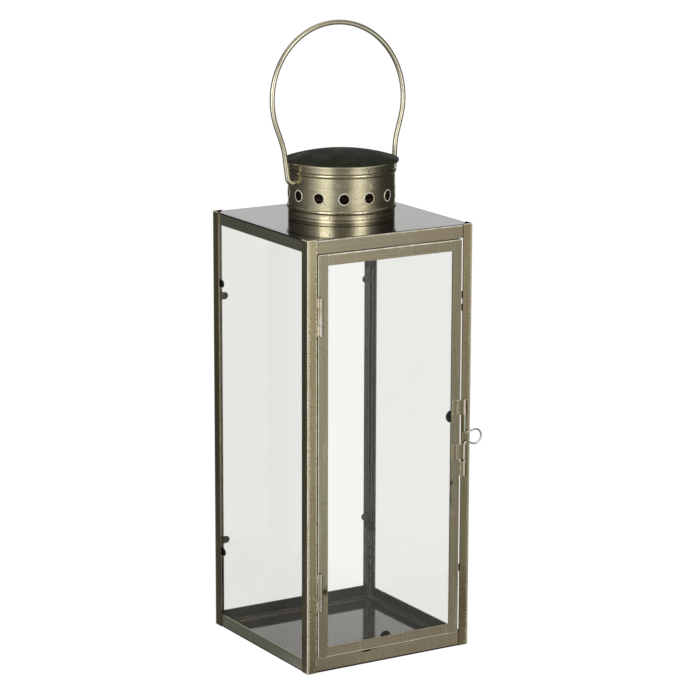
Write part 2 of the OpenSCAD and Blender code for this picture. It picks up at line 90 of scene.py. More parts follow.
def add_node(
    tree: Tree,
    kind: str,
    sockets: Mapping[str | int, object] | Sequence[object] = (),
    out: str | int = 0,
    stops: Sequence[tuple[float, Colour]] = (),
    size_mm: float = 0.0,
    **settings: object,
) -> Socket | None:
    """Adds a node with its settings, values and links.

    Args:
        tree: The node tree that gets it.
        kind: The node's type, without the prefix that all shader nodes have.
        sockets: A value, or an output to link, for each input: in order or by name.
        out: Which output is given back.
        stops: Places and colours of a colour ramp.
        size_mm: Size of a texture's pattern.
        settings: The node's own properties.

    Returns:
        That output, or nothing where the node has none.
    """
    node = tree.nodes.new(kind if kind.startswith("NodeGroup") else f"ShaderNode{kind}")
    for name, value in settings.items():
        setattr(node, name, value)
    pairs = sockets.items() if isinstance(sockets, Mapping) else enumerate(sockets)
    for key, value in pairs:
        if isinstance(value, Socket):
            tree.links.new(value, node.inputs[key])
        else:
            node.inputs[key].default_value = value
    if size_mm:
        node.inputs["Scale"].default_value = 1 / (size_mm * MM)
    for i, (place, colour) in enumerate(stops):
        elements = node.color_ramp.elements
        stop = elements[i] if i < len(elements) else elements.new(place)
        stop.position = place
        stop.color = colour
    return node.outputs[out] if node.outputs else None


def new_material(name: str) -> bpy.types.Material:
    """A node-based material whose tree is still empty."""
    material = bpy.data.materials.new(name)
    material.use_nodes = True
    material.node_tree.nodes.clear()
    return material


class Grain(Enum):
    """Run of the fine lines that rolling, turning or drawing left in the metal."""

    UPRIGHT = (1.0, 1.0, 0.015)
    LEVEL = (0.015, 0.015, 1.0)
    EVEN = (1.0, 1.0, 1.0)


class Place(Enum):
    """What a pattern is laid out on: the object's frame or a straightened wire."""

    FRAME = ""
    WIRE = "wire_place"


class Border(Enum):
    """What a band runs along: a corner post's fold, where it is wear, or a plate's rim, where it is
    painted shade.
    """

    FOLD = "MINIMUM"
    RIM = "MAXIMUM"


@dataclass(frozen=True)
class StainAndHighlight:
    """A crackled patch on the metal, seen from the front, in millimetres: a stain, or on some posts
    a painted highlight.
    """

    x: float
    z: float
    half_width: float
    half_height: float
    share: float
    colour: str
    raggedness: float = 6.0

    def lay(self, tree: Tree, place: Socket, crackle: Socket, under: Socket) -> Socket:
        """Lays the patch over a colour.

        Args:
            tree: The material's tree.
            place: The coordinates.
            crackle: Fine noise that breaks the patch's border, 0 to 1.
            under: The colour below.

        Returns:
            The colour with the patch.
        """
        width, height = self.half_width * MM, self.half_height * MM
        shift = (-self.x * MM / width, 0.0, -self.z * MM / height)
        scale = (1 / width, 0.0, 1 / height)
        off = add_node(tree, "Mapping", {"Vector": place, "Location": shift, "Scale": scale})
        away = add_node(tree, "VectorMath", [off], "Value", operation="LENGTH")
        torn = add_node(tree, "Math", [crackle, self.raggedness, away], operation="MULTIPLY_ADD")
        mask = add_node(
            tree,
            "MapRange",
            {"Value": torn, "From Min": 3.6, "From Max": 4.0, "To Min": self.share, "To Max": 0.0},
        )
        patch = {0: mask, 6: under, 7: linear(self.colour)}
        return add_node(tree, "Mix", patch, 2, data_type="RGBA")


@dataclass(frozen=True)
class Finish:
    """What a surface looks like: a node-based material that is built once."""

    name: str
    slot: str

    def material(self) -> bpy.types.Material:
        """The finish's material.

        Returns:
            A material of this finish's name.
        """
        found = bpy.data.materials.get(self.name)
        if found is None:
            found = new_material(self.name)
            surface = self.surface(found.node_tree)
            add_node(found.node_tree, "OutputMaterial", {"Surface": surface})
        return found

    def surface(self, tree: Tree) -> Socket:
        """Builds the finish's shader.

        Args:
            tree: The material's tree.

        Returns:
            The shader.
        """
        raise NotImplementedError


@dataclass(frozen=True)
class MetalFinish(Finish):
    """Lacquered or bare metal with clouds, grain lines, specks, scratches and waviness."""

    base: str
    patina: str
    speck: str
    scratch: str
    roughness: float
    grain: Grain = Grain.EVEN
    place: Place = Place.FRAME
    metallic: float = 1.0
    specular: float = 0.5
    coat: float = 0.0
    coat_roughness: float = 0.1
    cloud_mm: float = 30.0
    cloud_low: float = 0.42
    cloud_high: float = 0.66
    cloud_run: float = 0.35
    grain_mm: float = 1.2
    grain_tone: float = 0.25
    grain_depth_mm: float = 0.012
    speck_mm: float = 1.3
    speck_level: float = 0.69
    speck_edge: float = 0.035
    speck_rough: float = 0.25
    crowd_weight: float = 0.22
    scratch_mm: float = 7.0
    scratch_share: float = 0.35
    dent_mm: float = 22.0
    dent_depth_mm: float = 0.05
    foot_shade: float = 1.0
    crackle_mm: float = 1.5
    wear_and_shade_mm: float = 0.0
    wear_and_shade_along: Border = Border.FOLD
    wear_and_shade_colour: str = "#F2EACB"
    wear_and_shade_fall: float = 0.4
    stains_and_highlights: tuple[StainAndHighlight, ...] = ()

    def surface(self, tree: Tree) -> Socket:
        """Builds the metal's shader.

        Args:
            tree: The material's tree.

        Returns:
            The shader.
        """
        if self.place is Place.WIRE:
            place = add_node(tree, "Attribute", out="Vector", attribute_name=self.place.value)
        else:
            place = add_node(tree, "TexCoord", out="Object")
        stretch = [max(c, self.cloud_run) for c in self.grain.value]
        drawn = add_node(tree, "Mapping", {"Vector": place, "Scale": stretch})
        sockets = {"Vector": drawn, "Detail": 4.0, "Distortion": 0.4}
        clouds = add_node(tree, "TexNoise", sockets, size_mm=self.cloud_mm)
        run = add_node(tree, "Mapping", {"Vector": place, "Scale": self.grain.value})
        sockets = {"Vector": run, "Detail": 3.0, "Roughness": 0.6}
        lines = add_node(tree, "TexNoise", sockets, size_mm=self.grain_mm)
        specks = self._specks(tree, place)
        colour = self._colour(tree, clouds, lines, specks, self._scratches(tree, place))
        spread = {"To Min": self.roughness * 0.8, "To Max": self.roughness * 1.25}
        rough = add_node(
            tree, "MapRange", {"Value": clouds, "From Min": 0.3, "From Max": 0.7, **spread}
        )
        sockets = {
            "Base Color": self._with_wear_and_painted_light(tree, place, colour),
            "Roughness": add_node(
                tree,
                "Math",
                [specks, self.speck_rough, rough],
                operation="MULTIPLY_ADD",
                use_clamp=True,
            ),
            "Metallic": self.metallic,
            "Specular IOR Level": self.specular,
            "Coat Weight": self.coat,
            "Coat Roughness": self.coat_roughness,
            "Normal": self._relief(tree, place, lines),
        }
        return add_node(tree, "BsdfPrincipled", sockets)

    def _specks(self, tree: Tree, place: Socket) -> Socket:
        """Dark specks where the lacquer was pricked, closer together in some areas.

        Args:
            tree: The material's tree.
            place: The coordinates.

        Returns:
            1 in a speck, 0 beside it.
        """
        sockets = {"Vector": place, "Detail": 2.0}
        dots = add_node(tree, "TexNoise", sockets, size_mm=self.speck_mm)
        sockets = {"Vector": place, "Detail": 1.0}
        crowd = add_node(tree, "TexNoise", sockets, size_mm=2.5 * self.cloud_mm)
        both = add_node(tree, "Math", [crowd, self.crowd_weight, dots], operation="MULTIPLY_ADD")
        level = self.speck_level + self.crowd_weight / 2
        edge = {"From Min": level, "From Max": level + self.speck_edge}
        return add_node(tree, "MapRange", {"Value": both, **edge})

    def _scratches(self, tree: Tree, place: Socket) -> Socket:
        """Thin long scratches that cross the grain at a slant.

        Args:
            tree: The material's tree.
            place: The coordinates.

        Returns:
            1 on a scratch, 0 beside it.
        """
        turn, stretch = (0.35, 0.5, 0.2), (1.0, 1.0, 0.06)
        slant = add_node(tree, "Mapping", {"Vector": place, "Rotation": turn, "Scale": stretch})
        sockets = {"Vector": slant, "Detail": 1.0}
        veins = add_node(tree, "TexNoise", sockets, size_mm=self.scratch_mm)
        off = add_node(tree, "Math", [veins, 0.5], operation="SUBTRACT")
        off = add_node(tree, "Math", [off], operation="ABSOLUTE")
        return add_node(
            tree,
            "MapRange",
            {"Value": off, "From Min": 0.002, "From Max": 0.012, "To Min": 1.0, "To Max": 0.0},
        )

    def _colour(
        self, tree: Tree, clouds: Socket, lines: Socket, specks: Socket, scratches: Socket
    ) -> Socket:
        """Mixes the tones of the finish.

        Args:
            tree: The material's tree.
            clouds: Soft areas, 0 to 1.
            lines: Grain lines, 0 to 1.
            specks: Mask of the specks.
            scratches: Mask of the scratches.

        Returns:
            The colour.
        """
        reach = {"From Min": self.cloud_low, "From Max": self.cloud_high}
        cloud = add_node(tree, "MapRange", {"Value": clouds, **reach})
        reach = {"From Min": 0.35, "From Max": 0.72, "To Max": self.grain_tone}
        line = add_node(tree, "MapRange", {"Value": lines, **reach})
        rub = add_node(tree, "Math", [scratches, self.scratch_share], operation="MULTIPLY")
        colour = linear(self.base)
        tones = (
            (cloud, self.patina), (line, self.speck), (rub, self.scratch), (specks, self.speck)
        )
        for mask, tone in tones:
            layer = {0: mask, 6: colour, 7: linear(tone)}
            colour = add_node(tree, "Mix", layer, 2, data_type="RGBA")
        return colour

    def _with_wear_and_painted_light(self, tree: Tree, place: Socket, colour: Socket) -> Socket:
        """Adds a foot darkened by painted shade, stains and painted highlights, and a ragged band
        along a border.

        Args:
            tree: The material's tree.
            place: The coordinates.
            colour: The colour of the new metal.

        Returns:
            The colour with these marks.
        """
        if self.foot_shade == 1.0 and not self.wear_and_shade_mm and not self.stains_and_highlights:
            return colour
        axes = add_node(tree, "SeparateXYZ", [place]).node.outputs
        tone = add_node(
            tree, "MapRange", {"Value": axes["Z"], "From Max": BODY_TOP, "To Min": self.foot_shade}
        )
        foot_shaded = {0: 1.0, 6: colour, 7: tone}
        colour = add_node(tree, "Mix", foot_shaded, 2, data_type="RGBA", blend_type="MULTIPLY")
        sockets = {"Vector": place, "Detail": 4.0, "Roughness": 0.7}
        crackle = add_node(tree, "TexNoise", sockets, size_mm=self.crackle_mm)
        for mark in self.stains_and_highlights:
            colour = mark.lay(tree, place, crackle, colour)
        if not self.wear_and_shade_mm:
            return colour
        sides = [add_node(tree, "Math", [axes[i]], operation="ABSOLUTE") for i in ("X", "Y")]
        inner = add_node(tree, "Math", sides, operation=self.wear_and_shade_along.value)
        away = add_node(tree, "Math", [BODY_HALF, inner], operation="SUBTRACT")
        fall = -self.wear_and_shade_fall / (self.wear_and_shade_mm * MM)
        left = add_node(tree, "Math", [away, fall, crackle], operation="MULTIPLY_ADD")
        wear_and_shade = add_node(
            tree, "MapRange", {"Value": left, "From Min": 0.24, "From Max": 0.36, "To Max": 0.9}
        )
        layer = {0: wear_and_shade, 6: colour, 7: linear(self.wear_and_shade_colour)}
        return add_node(tree, "Mix", layer, 2, data_type="RGBA")

    def _relief(self, tree: Tree, place: Socket, lines: Socket) -> Socket:
        """Bump of the grain lines over the slow waviness of thin sheet.

        Args:
            tree: The material's tree.
            place: The coordinates.
            lines: Grain lines, 0 to 1.

        Returns:
            The shading normal.
        """
        sockets = {"Vector": place, "Detail": 1.0}
        dents = add_node(tree, "TexNoise", sockets, size_mm=self.dent_mm)
        depth = {"Distance": self.dent_depth_mm * MM, "Strength": 1.0}
        wavy = add_node(tree, "Bump", {"Height": dents, **depth})
        depth = {"Distance": self.grain_depth_mm * MM, "Strength": 1.0}
        return add_node(tree, "Bump", {"Height": lines, "Normal": wavy, **depth})


@dataclass(frozen=True)
class GlassFinish(Finish):
    """Float glass, clear on its faces or ground on its cut edges."""

    tint: str
    roughness: float
    film: str = "#FCFCFA"
    shadow_tint: str = "#EEF0EC"
    smear_mm: float = 34.0
    smear_rough: float = 0.015

    def surface(self, tree: Tree) -> Socket:
        """Builds the glass, which lets light through to what stands behind it.

        Args:
            tree: The material's tree.

        Returns:
            The shader.
        """
        place = add_node(tree, "TexCoord", out="Object")
        sockets = {"Vector": place, "Detail": 5.0, "Roughness": 0.65}
        smears = add_node(tree, "TexNoise", sockets, size_mm=self.smear_mm)
        spread = {"To Min": self.roughness, "To Max": self.roughness + self.smear_rough}
        rough = add_node(
            tree, "MapRange", {"Value": smears, "From Min": 0.6, "From Max": 0.8, **spread}
        )
        film = add_node(tree, "MapRange", {"Value": smears, "From Min": 0.45, "From Max": 0.85})
        tints = {0: film, 6: linear(self.tint), 7: linear(self.film)}
        sockets = {
            "Base Color": add_node(tree, "Mix", tints, 2, data_type="RGBA"),
            "Roughness": rough,
            "IOR": 1.5,
            "Specular IOR Level": 0.25,
            "Transmission Weight": 1.0,
        }
        glass = add_node(tree, "BsdfPrincipled", sockets)
        through = add_node(tree, "BsdfTransparent", [linear(self.shadow_tint)])
        path = add_node(tree, "LightPath").node.outputs
        rays = [path["Is Shadow Ray"], path["Is Diffuse Ray"]]
        soft = add_node(tree, "Math", rays, operation="MAXIMUM")
        return add_node(tree, "MixShader", [soft, glass, through])


# Brass-plated steel sheet under satin lacquer: olive grey and pinkish brown areas drawn
# out along the rolling lines, which stand upright or lie level.
BRASS_UPRIGHT = MetalFinish(
    name="lacquered_brass_sheet_upright",
    slot="frame_metal",
    base="#B4AF90",
    patina="#B6A78B",
    speck="#4A412F",
    scratch="#EDE6CC",
    roughness=0.27,
    grain=Grain.UPRIGHT,
    coat=0.18,
    coat_roughness=0.22,
    scratch_share=0.2,
)
BRASS_LEVEL = replace(
    BRASS_UPRIGHT, name="lacquered_brass_sheet_level", base="#B9AF92", grain=Grain.LEVEL
)
# Rails of the sides: a paler, greener copy of the level finish that paints in light on the side
# faces.
BRASS_SIDE_LIT = replace(
    BRASS_LEVEL, name="painted_light_side_rail", base="#DDDFC3", patina="#D2D2B8"
)
# The foot rail in front carries the dark slot where the door's rail was dressed down.
BRASS_FOOT = replace(
    BRASS_LEVEL,
    name="lacquered_brass_foot_rail",
    stains_and_highlights=(StainAndHighlight(-20.0, 11.0, 7.5, 1.1, 1.0, "#15130D"),),
)
# Corner posts: yellower, darkened towards the foot by painted shade, the fold rubbed pale in a
# ragged band.
BRASS_POST = replace(
    BRASS_UPRIGHT,
    name="lacquered_brass_post",
    base="#C3B98E",
    patina="#B6A382",
    foot_shade=0.66,
    wear_and_shade_mm=3.4,
    stains_and_highlights=(
        StainAndHighlight(70.5, 36.0, 4.5, 26.0, 0.4, "#6B4A33"),
        StainAndHighlight(-71.0, 332.0, 6.0, 20.0, 0.22, "#F0E6C4"),
        # A painted highlight: a thin pale line down the edge of the left posts' flanges.
        StainAndHighlight(-67.0, 173.0, 0.55, 210.0, 0.85, "#FFF6DA"),
    ),
)
# Door stiles: the solder of the lower hinge left a rust-brown crackled patch.
BRASS_STILE = replace(
    BRASS_UPRIGHT,
    name="lacquered_brass_stile",
    stains_and_highlights=(
        StainAndHighlight(-59.0, 66.0, 3.2, 3.6, 0.9, "#3A2618"),
        StainAndHighlight(-60.5, 34.0, 5.5, 34.0, 0.3, "#6B5038"),
        StainAndHighlight(57.5, 138.0, 1.5, 2.4, 0.85, "#2A2016"),
        StainAndHighlight(56.8, 124.0, 0.9, 6.0, 0.6, "#3A2E20"),
    ),
)
# The posts' inner faces: darker and duller, with a painted highlight, a thin near-white line low on
# the right.
DARK_POST_INSIDE = replace(
    BRASS_UPRIGHT,
    name="dark_post_inside_painted_highlight",
    base="#6A6750",
    patina="#5E5A46",
    roughness=0.24,
    stains_and_highlights=(StainAndHighlight(73.1, 45.0, 0.9, 62.0, 0.95, "#FFFFF0"),),
)
# The chimney's sheet is turned round, which leaves level rings close together. Its
# stains are a small dark spot under the rim and three blobs of solder beside the vents.
BRASS_TURNED = replace(
    BRASS_LEVEL,
    name="lacquered_brass_turned",
    base="#C6BE9E",
    patina="#B7AC8D",
    speck="#4E452F",
    scratch="#EFE9D2",
    roughness=0.235,
    coat=0.2,
    coat_roughness=0.16,
    grain_mm=1.0,
    grain_tone=0.22,
    dent_depth_mm=0.03,
    stains_and_highlights=(
        StainAndHighlight(0.9, 390.0, 0.9, 0.7, 1.0, "#1C150D"),
        StainAndHighlight(-23.5, 378.4, 1.6, 1.4, 0.5, "#F6ECCE"),
        StainAndHighlight(-20.2, 377.4, 1.4, 1.0, 0.5, "#F6ECCE"),
        StainAndHighlight(1.5, 377.0, 1.8, 1.6, 0.5, "#F6ECCE"),
    ),
)
# Soot on the chimney's inner face, dark brown and dull; the same finish is painted shade on the
# band under the cap's lip.
SOOT_AND_LIP_SHADE = MetalFinish(
    name="soot_and_painted_lip_shade",
    slot="frame_metal",
    base="#6A5238",
    patina="#3E2E1D",
    speck="#0C0906",
    scratch="#5C4730",
    roughness=0.5,
    metallic=0.5,
    cloud_mm=8.0,
)
# Cut edges and folds: partly lacquer rubbed off to bare metal, partly painted highlight where the
# edges catch the light; pale and diffuse.
WORN_EDGE_HIGHLIGHT = MetalFinish(
    name="rubbed_edge_and_painted_highlight",
    slot="frame_metal",
    base="#FFFBEA",
    patina="#E6DBB8",
    speck="#6A5D40",
    scratch="#FFFDF2",
    roughness=0.4,
    metallic=0.0,
    cloud_mm=9.0,
    cloud_low=0.45,
    cloud_high=0.62,
    grain_tone=0.15,
    speck_level=0.74,
    dent_depth_mm=0.0,
)
# Painted shade, nearly black, in the seams and gaps of the roof, floor, foot rail and door.
SEAM_SHADE = MetalFinish(
    name="painted_seam_shade",
    slot="plate_metal",
    base="#1F1C14",
    patina="#2E2A1F",
    speck="#0E0C08",
    scratch="#57503C",
    roughness=0.5,
    metallic=0.3,
    specular=0.2,
)
# Spot welds that hold the hinge leaves: small pits burnt to a pinkish grey.
WELD_SCORCH = MetalFinish(
    name="spot_weld_scorch",
    slot="frame_metal",
    base="#D8BFA8",
    patina="#8A6C52",
    speck="#3A2A1C",
    scratch="#F0DCC8",
    roughness=0.4,
    cloud_mm=1.2,
    metallic=0.6,
)
# Roof of smooth sheet under gloss lacquer: a grey mirror at a low angle, with a dark band of
# painted shade along its rim.
ROOF_GLOSS = MetalFinish(
    name="gloss_lacquered_roof",
    slot="plate_metal",
    base="#726F69",
    patina="#67645D",
    speck="#3A372F",
    scratch="#8F8B82",
    roughness=0.1,
    # The band along the rim is painted shade.
    wear_and_shade_mm=7.5,
    wear_and_shade_along=Border.RIM,
    wear_and_shade_colour="#14120C",
    coat=0.55,
    coat_roughness=0.03,
    grain_tone=0.06,
    grain_depth_mm=0.001,
    speck_level=0.8,
    scratch_share=0.12,
    dent_mm=38.0,
    dent_depth_mm=0.015,
)
# Floor of the same sheet, tinted darker by the lacquer that ran together on it.
FLOOR_GLOSS = replace(
    ROOF_GLOSS,
    name="dark_gloss_floor",
    base="#403A2E",
    patina="#332E24",
    speck="#14120D",
    scratch="#6B655A",
    roughness=0.12,
    metallic=0.6,
    wear_and_shade_mm=0.0,
    coat=1.0,
    speck_level=0.78,
    scratch_share=0.15,
    dent_mm=40.0,
)
# Cap of soot-dark lacquered sheet, close to matt.
CAP_DARK = MetalFinish(
    name="matt_dark_cap",
    slot="dark_metal",
    base="#272919",
    patina="#232514",
    speck="#1A1A14",
    scratch="#4A493C",
    roughness=0.6,
    metallic=0.0,
    specular=0.12,
    cloud_mm=14.0,
    speck_mm=0.9,
    speck_level=0.72,
    scratch_share=0.12,
    grain_depth_mm=0.003,
    dent_depth_mm=0.01,
)
# Collar and hinge pins: bare steel darkened by heat and oil.
DARK_STEEL = MetalFinish(
    name="heat_darkened_steel",
    slot="dark_metal",
    base="#3A3224",
    patina="#2A2317",
    speck="#15120C",
    scratch="#6B5F48",
    roughness=0.42,
    cloud_mm=12.0,
)
# Tabs cut from the same sheet, darker where the bending cracked the lacquer.
TAB_METAL = MetalFinish(
    name="bent_tab_sheet",
    slot="tab_metal",
    base="#77735F",
    patina="#5A5646",
    speck="#211D14",
    scratch="#B3AA8D",
    roughness=0.3,
    cloud_mm=7.0,
)
# The tabs' cut rims are darker than their faces.
TAB_RIM = replace(TAB_METAL, name="bent_tab_rim", base="#2B281F", patina="#1C1A13", roughness=0.45)
# Guides' plates of the door's own sheet.
LATCH_PLATE = replace(
    BRASS_UPRIGHT,
    name="latch_plate_sheet",
    slot="latch_metal",
    base="#9E987B",
    patina="#988C72",
    cloud_mm=12.0,
)
# Rolled barrels of plain brass strip: pale, with a cream light down the middle; their brown right
# sides are painted shade.
LATCH_BARREL = MetalFinish(
    name="rolled_brass_strip",
    slot="latch_metal",
    base="#FFF8E8",
    patina="#EFE2C6",
    speck="#4B3B26",
    scratch="#FFF6DC",
    roughness=0.3,
    grain=Grain.UPRIGHT,
    cloud_mm=8.0,
    speck_level=0.68,
    scratch_share=0.2,
)
# Cut edges of the strips: the same finish as the sheet's edges, partly bare metal, partly painted
# highlight.
LATCH_EDGE_HIGHLIGHT = replace(WORN_EDGE_HIGHLIGHT, name="strip_edge_and_painted_highlight", slot="latch_metal", cloud_mm=5.0)
# Painted shade: the barrels' right sides, which face the gap, are painted brown.
LATCH_SIDE_SHADE = replace(
    LATCH_BARREL, name="painted_shade_strip_side", base="#8C7358", patina="#6A5540", roughness=0.35
)
# Hinge barrels were lacquered with the frame, so they are greyer than the latch.
HINGE_BARREL = replace(
    LATCH_BARREL, name="rolled_hinge_strip", base="#F3EFDC", patina="#CFC8AC", roughness=0.28
)
# Their right sides stand in the door's gap and get painted shade.
HINGE_SIDE_SHADE = replace(
    LATCH_BARREL, name="painted_shade_hinge_side", base="#4A4431", patina="#332E20", roughness=0.4
)
# Drawn steel wire with a thin brass wash: pale, with streaks along its length.
DRAWN_WIRE = MetalFinish(
    name="drawn_wire",
    slot="handle_wire",
    base="#EAE5CD",
    patina="#C8C09F",
    speck="#5C563F",
    scratch="#F6F2DE",
    roughness=0.32,
    grain=Grain.UPRIGHT,
    place=Place.WIRE,
    cloud_mm=10.0,
    cloud_run=0.2,
    grain_mm=0.9,
    grain_tone=0.6,
    speck_level=0.72,
    scratch_share=0.0,
    dent_depth_mm=0.0,
)
# The bolt's thinner wire has no wash: pale silver.
BOLT_WIRE = replace(
    DRAWN_WIRE,
    name="drawn_bolt_wire",
    slot="latch_metal",
    base="#EAE7DE",
    patina="#CFCABC",
    roughness=0.22,
    cloud_mm=9.0,
    grain_mm=0.5,
    grain_tone=0.25,
)
# Float glass: colourless through its faces, pale and frosted on its ground edges.
CLEAR_GLASS = GlassFinish("clear_float_glass", "clear_glass", "#FCFCFA", 0.0)
GROUND_GLASS = GlassFinish("ground_glass_edge", "clear_glass", "#DDE6DF", 0.4)


def strip_width(face: BMFace) -> float:
    """Width of a long face: its area over its longest edge."""
    return face.calc_area() / max(e.calc_length() for e in face.edges)


def is_cut(face: BMFace) -> bool:
    """Whether a face is only a cut through the sheet."""
    return strip_width(face) < CUT_WIDTH


def is_rolled_side(face: BMFace, beyond: float) -> bool:
    """Whether a face is on the right-hand side of a rolled barrel.

    Args:
        face: The face.
        beyond: How far to the right its normal has to point, -1 to 1.

    Returns:
        True on that side.
    """
    upright = abs(face.normal.z) < 0.5
    return face.normal.x > beyond and upright and strip_width(face) <= STRIP_WIDTH


def polar(radius: float, angle: float, height: float) -> Vector:
    """The point at a distance, bearing and height from the Z axis."""
    return Vector((radius * math.cos(angle), radius * math.sin(angle), height))


def turned_about(centre: Vector, move: Matrix) -> Matrix:
    """A turn or scaling that leaves that centre where it is."""
    return Matrix.Translation(centre) @ move @ Matrix.Translation(-centre)


def merged_copy(node: str) -> BMesh:
    """A solid of the frame as one closed mesh with whole flat faces.

    Args:
        node: The frame's node.

    Returns:
        A new mesh in the frame's place.
    """
    bm = bmesh.new()
    bm.from_mesh(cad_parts[node].data)
    bmesh.ops.remove_doubles(bm, verts=bm.verts[:], dist=WELD)
    flat = math.radians(0.5)
    bmesh.ops.dissolve_limit(bm, angle_limit=flat, verts=bm.verts[:], edges=bm.edges[:])
    return bm


def bevel_edges(bm: BMesh, edges: Iterable[BMEdge], width: float, segments: int) -> list[BMFace]:
    """Rounds edges.

    Args:
        bm: The mesh.
        edges: What is rounded.
        width: Width of the rounding along each face.
        segments: Number of strips across it.

    Returns:
        The new strips.
    """
    return bmesh.ops.bevel(
        bm,
        geom=list(edges),
        offset=width,
        offset_type="OFFSET",
        affect="EDGES",
        segments=segments,
        profile=0.5,
        material=-1,
        clamp_overlap=True,
    )["faces"]


def ring_edges(bm: BMesh, ring: Iterable[BMVert]) -> list[BMEdge]:
    """The edges between the vertices of an open ring."""
    inside = set(ring)
    return [e for e in bm.edges if e.verts[0] in inside and e.verts[1] in inside]


def extrude_ring(bm: BMesh, ring: Iterable[BMVert]) -> tuple[dict[BMVert, BMVert], list[BMFace]]:
    """Extrudes an open ring where it stands.

    Args:
        bm: The mesh.
        ring: The ring's vertices.

    Returns:
        The old vertex that each new one came from, and the new faces.
    """
    old = set(ring)
    made = bmesh.ops.extrude_edge_only(bm, edges=ring_edges(bm, old))["geom"]
    sources = {
        vert: next(e.other_vert(vert) for e in vert.link_edges if e.other_vert(vert) in old)
        for vert in made
        if isinstance(vert, BMVert)
    }
    return sources, [g for g in made if isinstance(g, BMFace)]


def finished_mesh(bm: BMesh, name: str) -> bpy.types.Mesh:
    """Keeps a mesh under a name and uses it up."""
    mesh = bpy.data.meshes.new(name)
    bm.to_mesh(mesh)
    bm.free()
    return mesh


def add_object(name: str, data: bpy.types.ID) -> bpy.types.Object:
    """Puts a mesh, lamp or camera into the scene."""
    made = bpy.data.objects.new(name, data)
    bpy.context.scene.collection.objects.link(made)
    return made


def shade_smooth(mesh: bpy.types.Mesh, below: float) -> None:
    """Shades a mesh smooth where its edges bend by less than these degrees."""
    mesh.polygons.foreach_set("use_smooth", [True] * len(mesh.polygons))
    mesh.set_sharp_from_angle(angle=math.radians(below))


def publish(
    bm: BMesh,
    name: str,
    body: str,
    nodes: Sequence[str],
    finishes: Sequence[Finish],
    smooth_below: float = 0.0,
) -> Piece:
    """Makes a mesh a piece that rides on a body and stands for nodes of the frame.

    Args:
        bm: The mesh, which is used up.
        name: The piece's name.
        body: The body that it moves with.
        nodes: The nodes that it replaces.
        finishes: One for each material index of the mesh.
        smooth_below: Edges bent by less than these degrees are shaded smooth.

    Returns:
        The piece.
    """
    mesh = finished_mesh(bm, name)
    for finish in finishes:
        mesh.materials.append(finish.material())
    if smooth_below:
        shade_smooth(mesh, smooth_below)
    piece = add_object(name, mesh)
    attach(piece, body)
    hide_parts(*nodes)
    LOG.info("%s: %d faces, rides on %s", name, len(mesh.polygons), body)
    return piece


def modify(piece: Piece, kind: str, **settings: object) -> None:
    """Changes a piece's mesh for good by a modifier.

    Args:
        piece: What is changed.
        kind: The modifier's type.
        settings: The modifier's own properties.
    """
    modifier = piece.modifiers.new(kind.lower(), kind)
    for name, value in settings.items():
        setattr(modifier, name, value)
    graph = bpy.context.evaluated_depsgraph_get()
    settled = bpy.data.meshes.new_from_object(piece.evaluated_get(graph))
    piece.modifiers.clear()
    piece.data = settled


def carve(piece: Piece, cutter: BMesh) -> None:
    """Cuts closed shapes out of a piece for good.

    Args:
        piece: What is cut.
        cutter: The shapes, which are used up.
    """
    tool = add_object("cutter", finished_mesh(cutter, "cutter"))
    modify(piece, "BOOLEAN", operation="DIFFERENCE", solver="EXACT", object=tool)
    bpy.data.objects.remove(tool)


@dataclass
class SheetWork:
    """Pieces bent from sheet: their folds are round, and their folds and cut edges take a second
    finish, on most pieces pale wear with painted highlight.
    """

    fold_width: float = 0.85 * MM
    fold_strips: int = 5
    edge_width: float = 0.4 * MM
    edge_strips: int = 2
    sharp_angle: float = math.radians(40)
    rubbed_and_highlit_down_to: float = -0.2

    def dress(
        self,
        node: str,
        body: str,
        finishes: Sequence[Finish],
        folded: bool = True,
        smooth_below: float = 0.0,
        sort: Callable[[BMFace], int] | None = None,
    ) -> Piece:
        """Rounds a copy of one of the frame's nodes and gives it its finishes.

        Args:
            node: The frame's node.
            body: The body that it moves with.
            finishes: The sheet's finish, that of its edges, and any others.
            folded: Whether edges between two wide faces are folds.
            smooth_below: Edges bent by less than these degrees are shaded smooth.
            sort: Gives the place of a flat face's finish in that list.

        Returns:
            The piece.
        """
        bm = merged_copy(node)
        if sort is not None:
            for face in bm.faces:
                face.material_index = sort(face)
        if folded:
            folds = [e for e in self._sharp(bm) if not any(is_cut(f) for f in e.link_faces)]
            # Folds take the second finish, on most pieces pale wear with painted highlight.
            for face in bevel_edges(bm, folds, self.fold_width, self.fold_strips):
                face.material_index = 1
        # Edges that do not face down take the second finish too: on most pieces painted highlight,
        # on some painted shade.
        for face in bevel_edges(bm, self._sharp(bm), self.edge_width, self.edge_strips):
            if face.normal.z > self.rubbed_and_highlit_down_to:
                face.material_index = 1
        return publish(bm, f"{node}_sheet", body, [node], finishes, smooth_below)

    def roll(
        self,
        node: str,
        body: str,
        finishes: Sequence[Finish],
        sort: Callable[[BMFace], int] | None = None,
    ) -> None:
        """Dresses rolled strip, a tab or a pin, whose bends are round already.

        Args:
            node: The frame's node.
            body: The body that it moves with.
            finishes: Its finish, that of its edges, and any others.
            sort: Gives the place of a flat face's finish in that list.
        """
        self.dress(node, body, finishes, False, STRIP_SMOOTH, sort)

    def _sharp(self, bm: BMesh) -> list[BMEdge]:
        """The mesh's outward edges that are sharp enough to round."""
        closed = (e for e in bm.edges if len(e.link_faces) == 2)
        return [e for e in closed if e.calc_face_angle_signed() > self.sharp_angle]


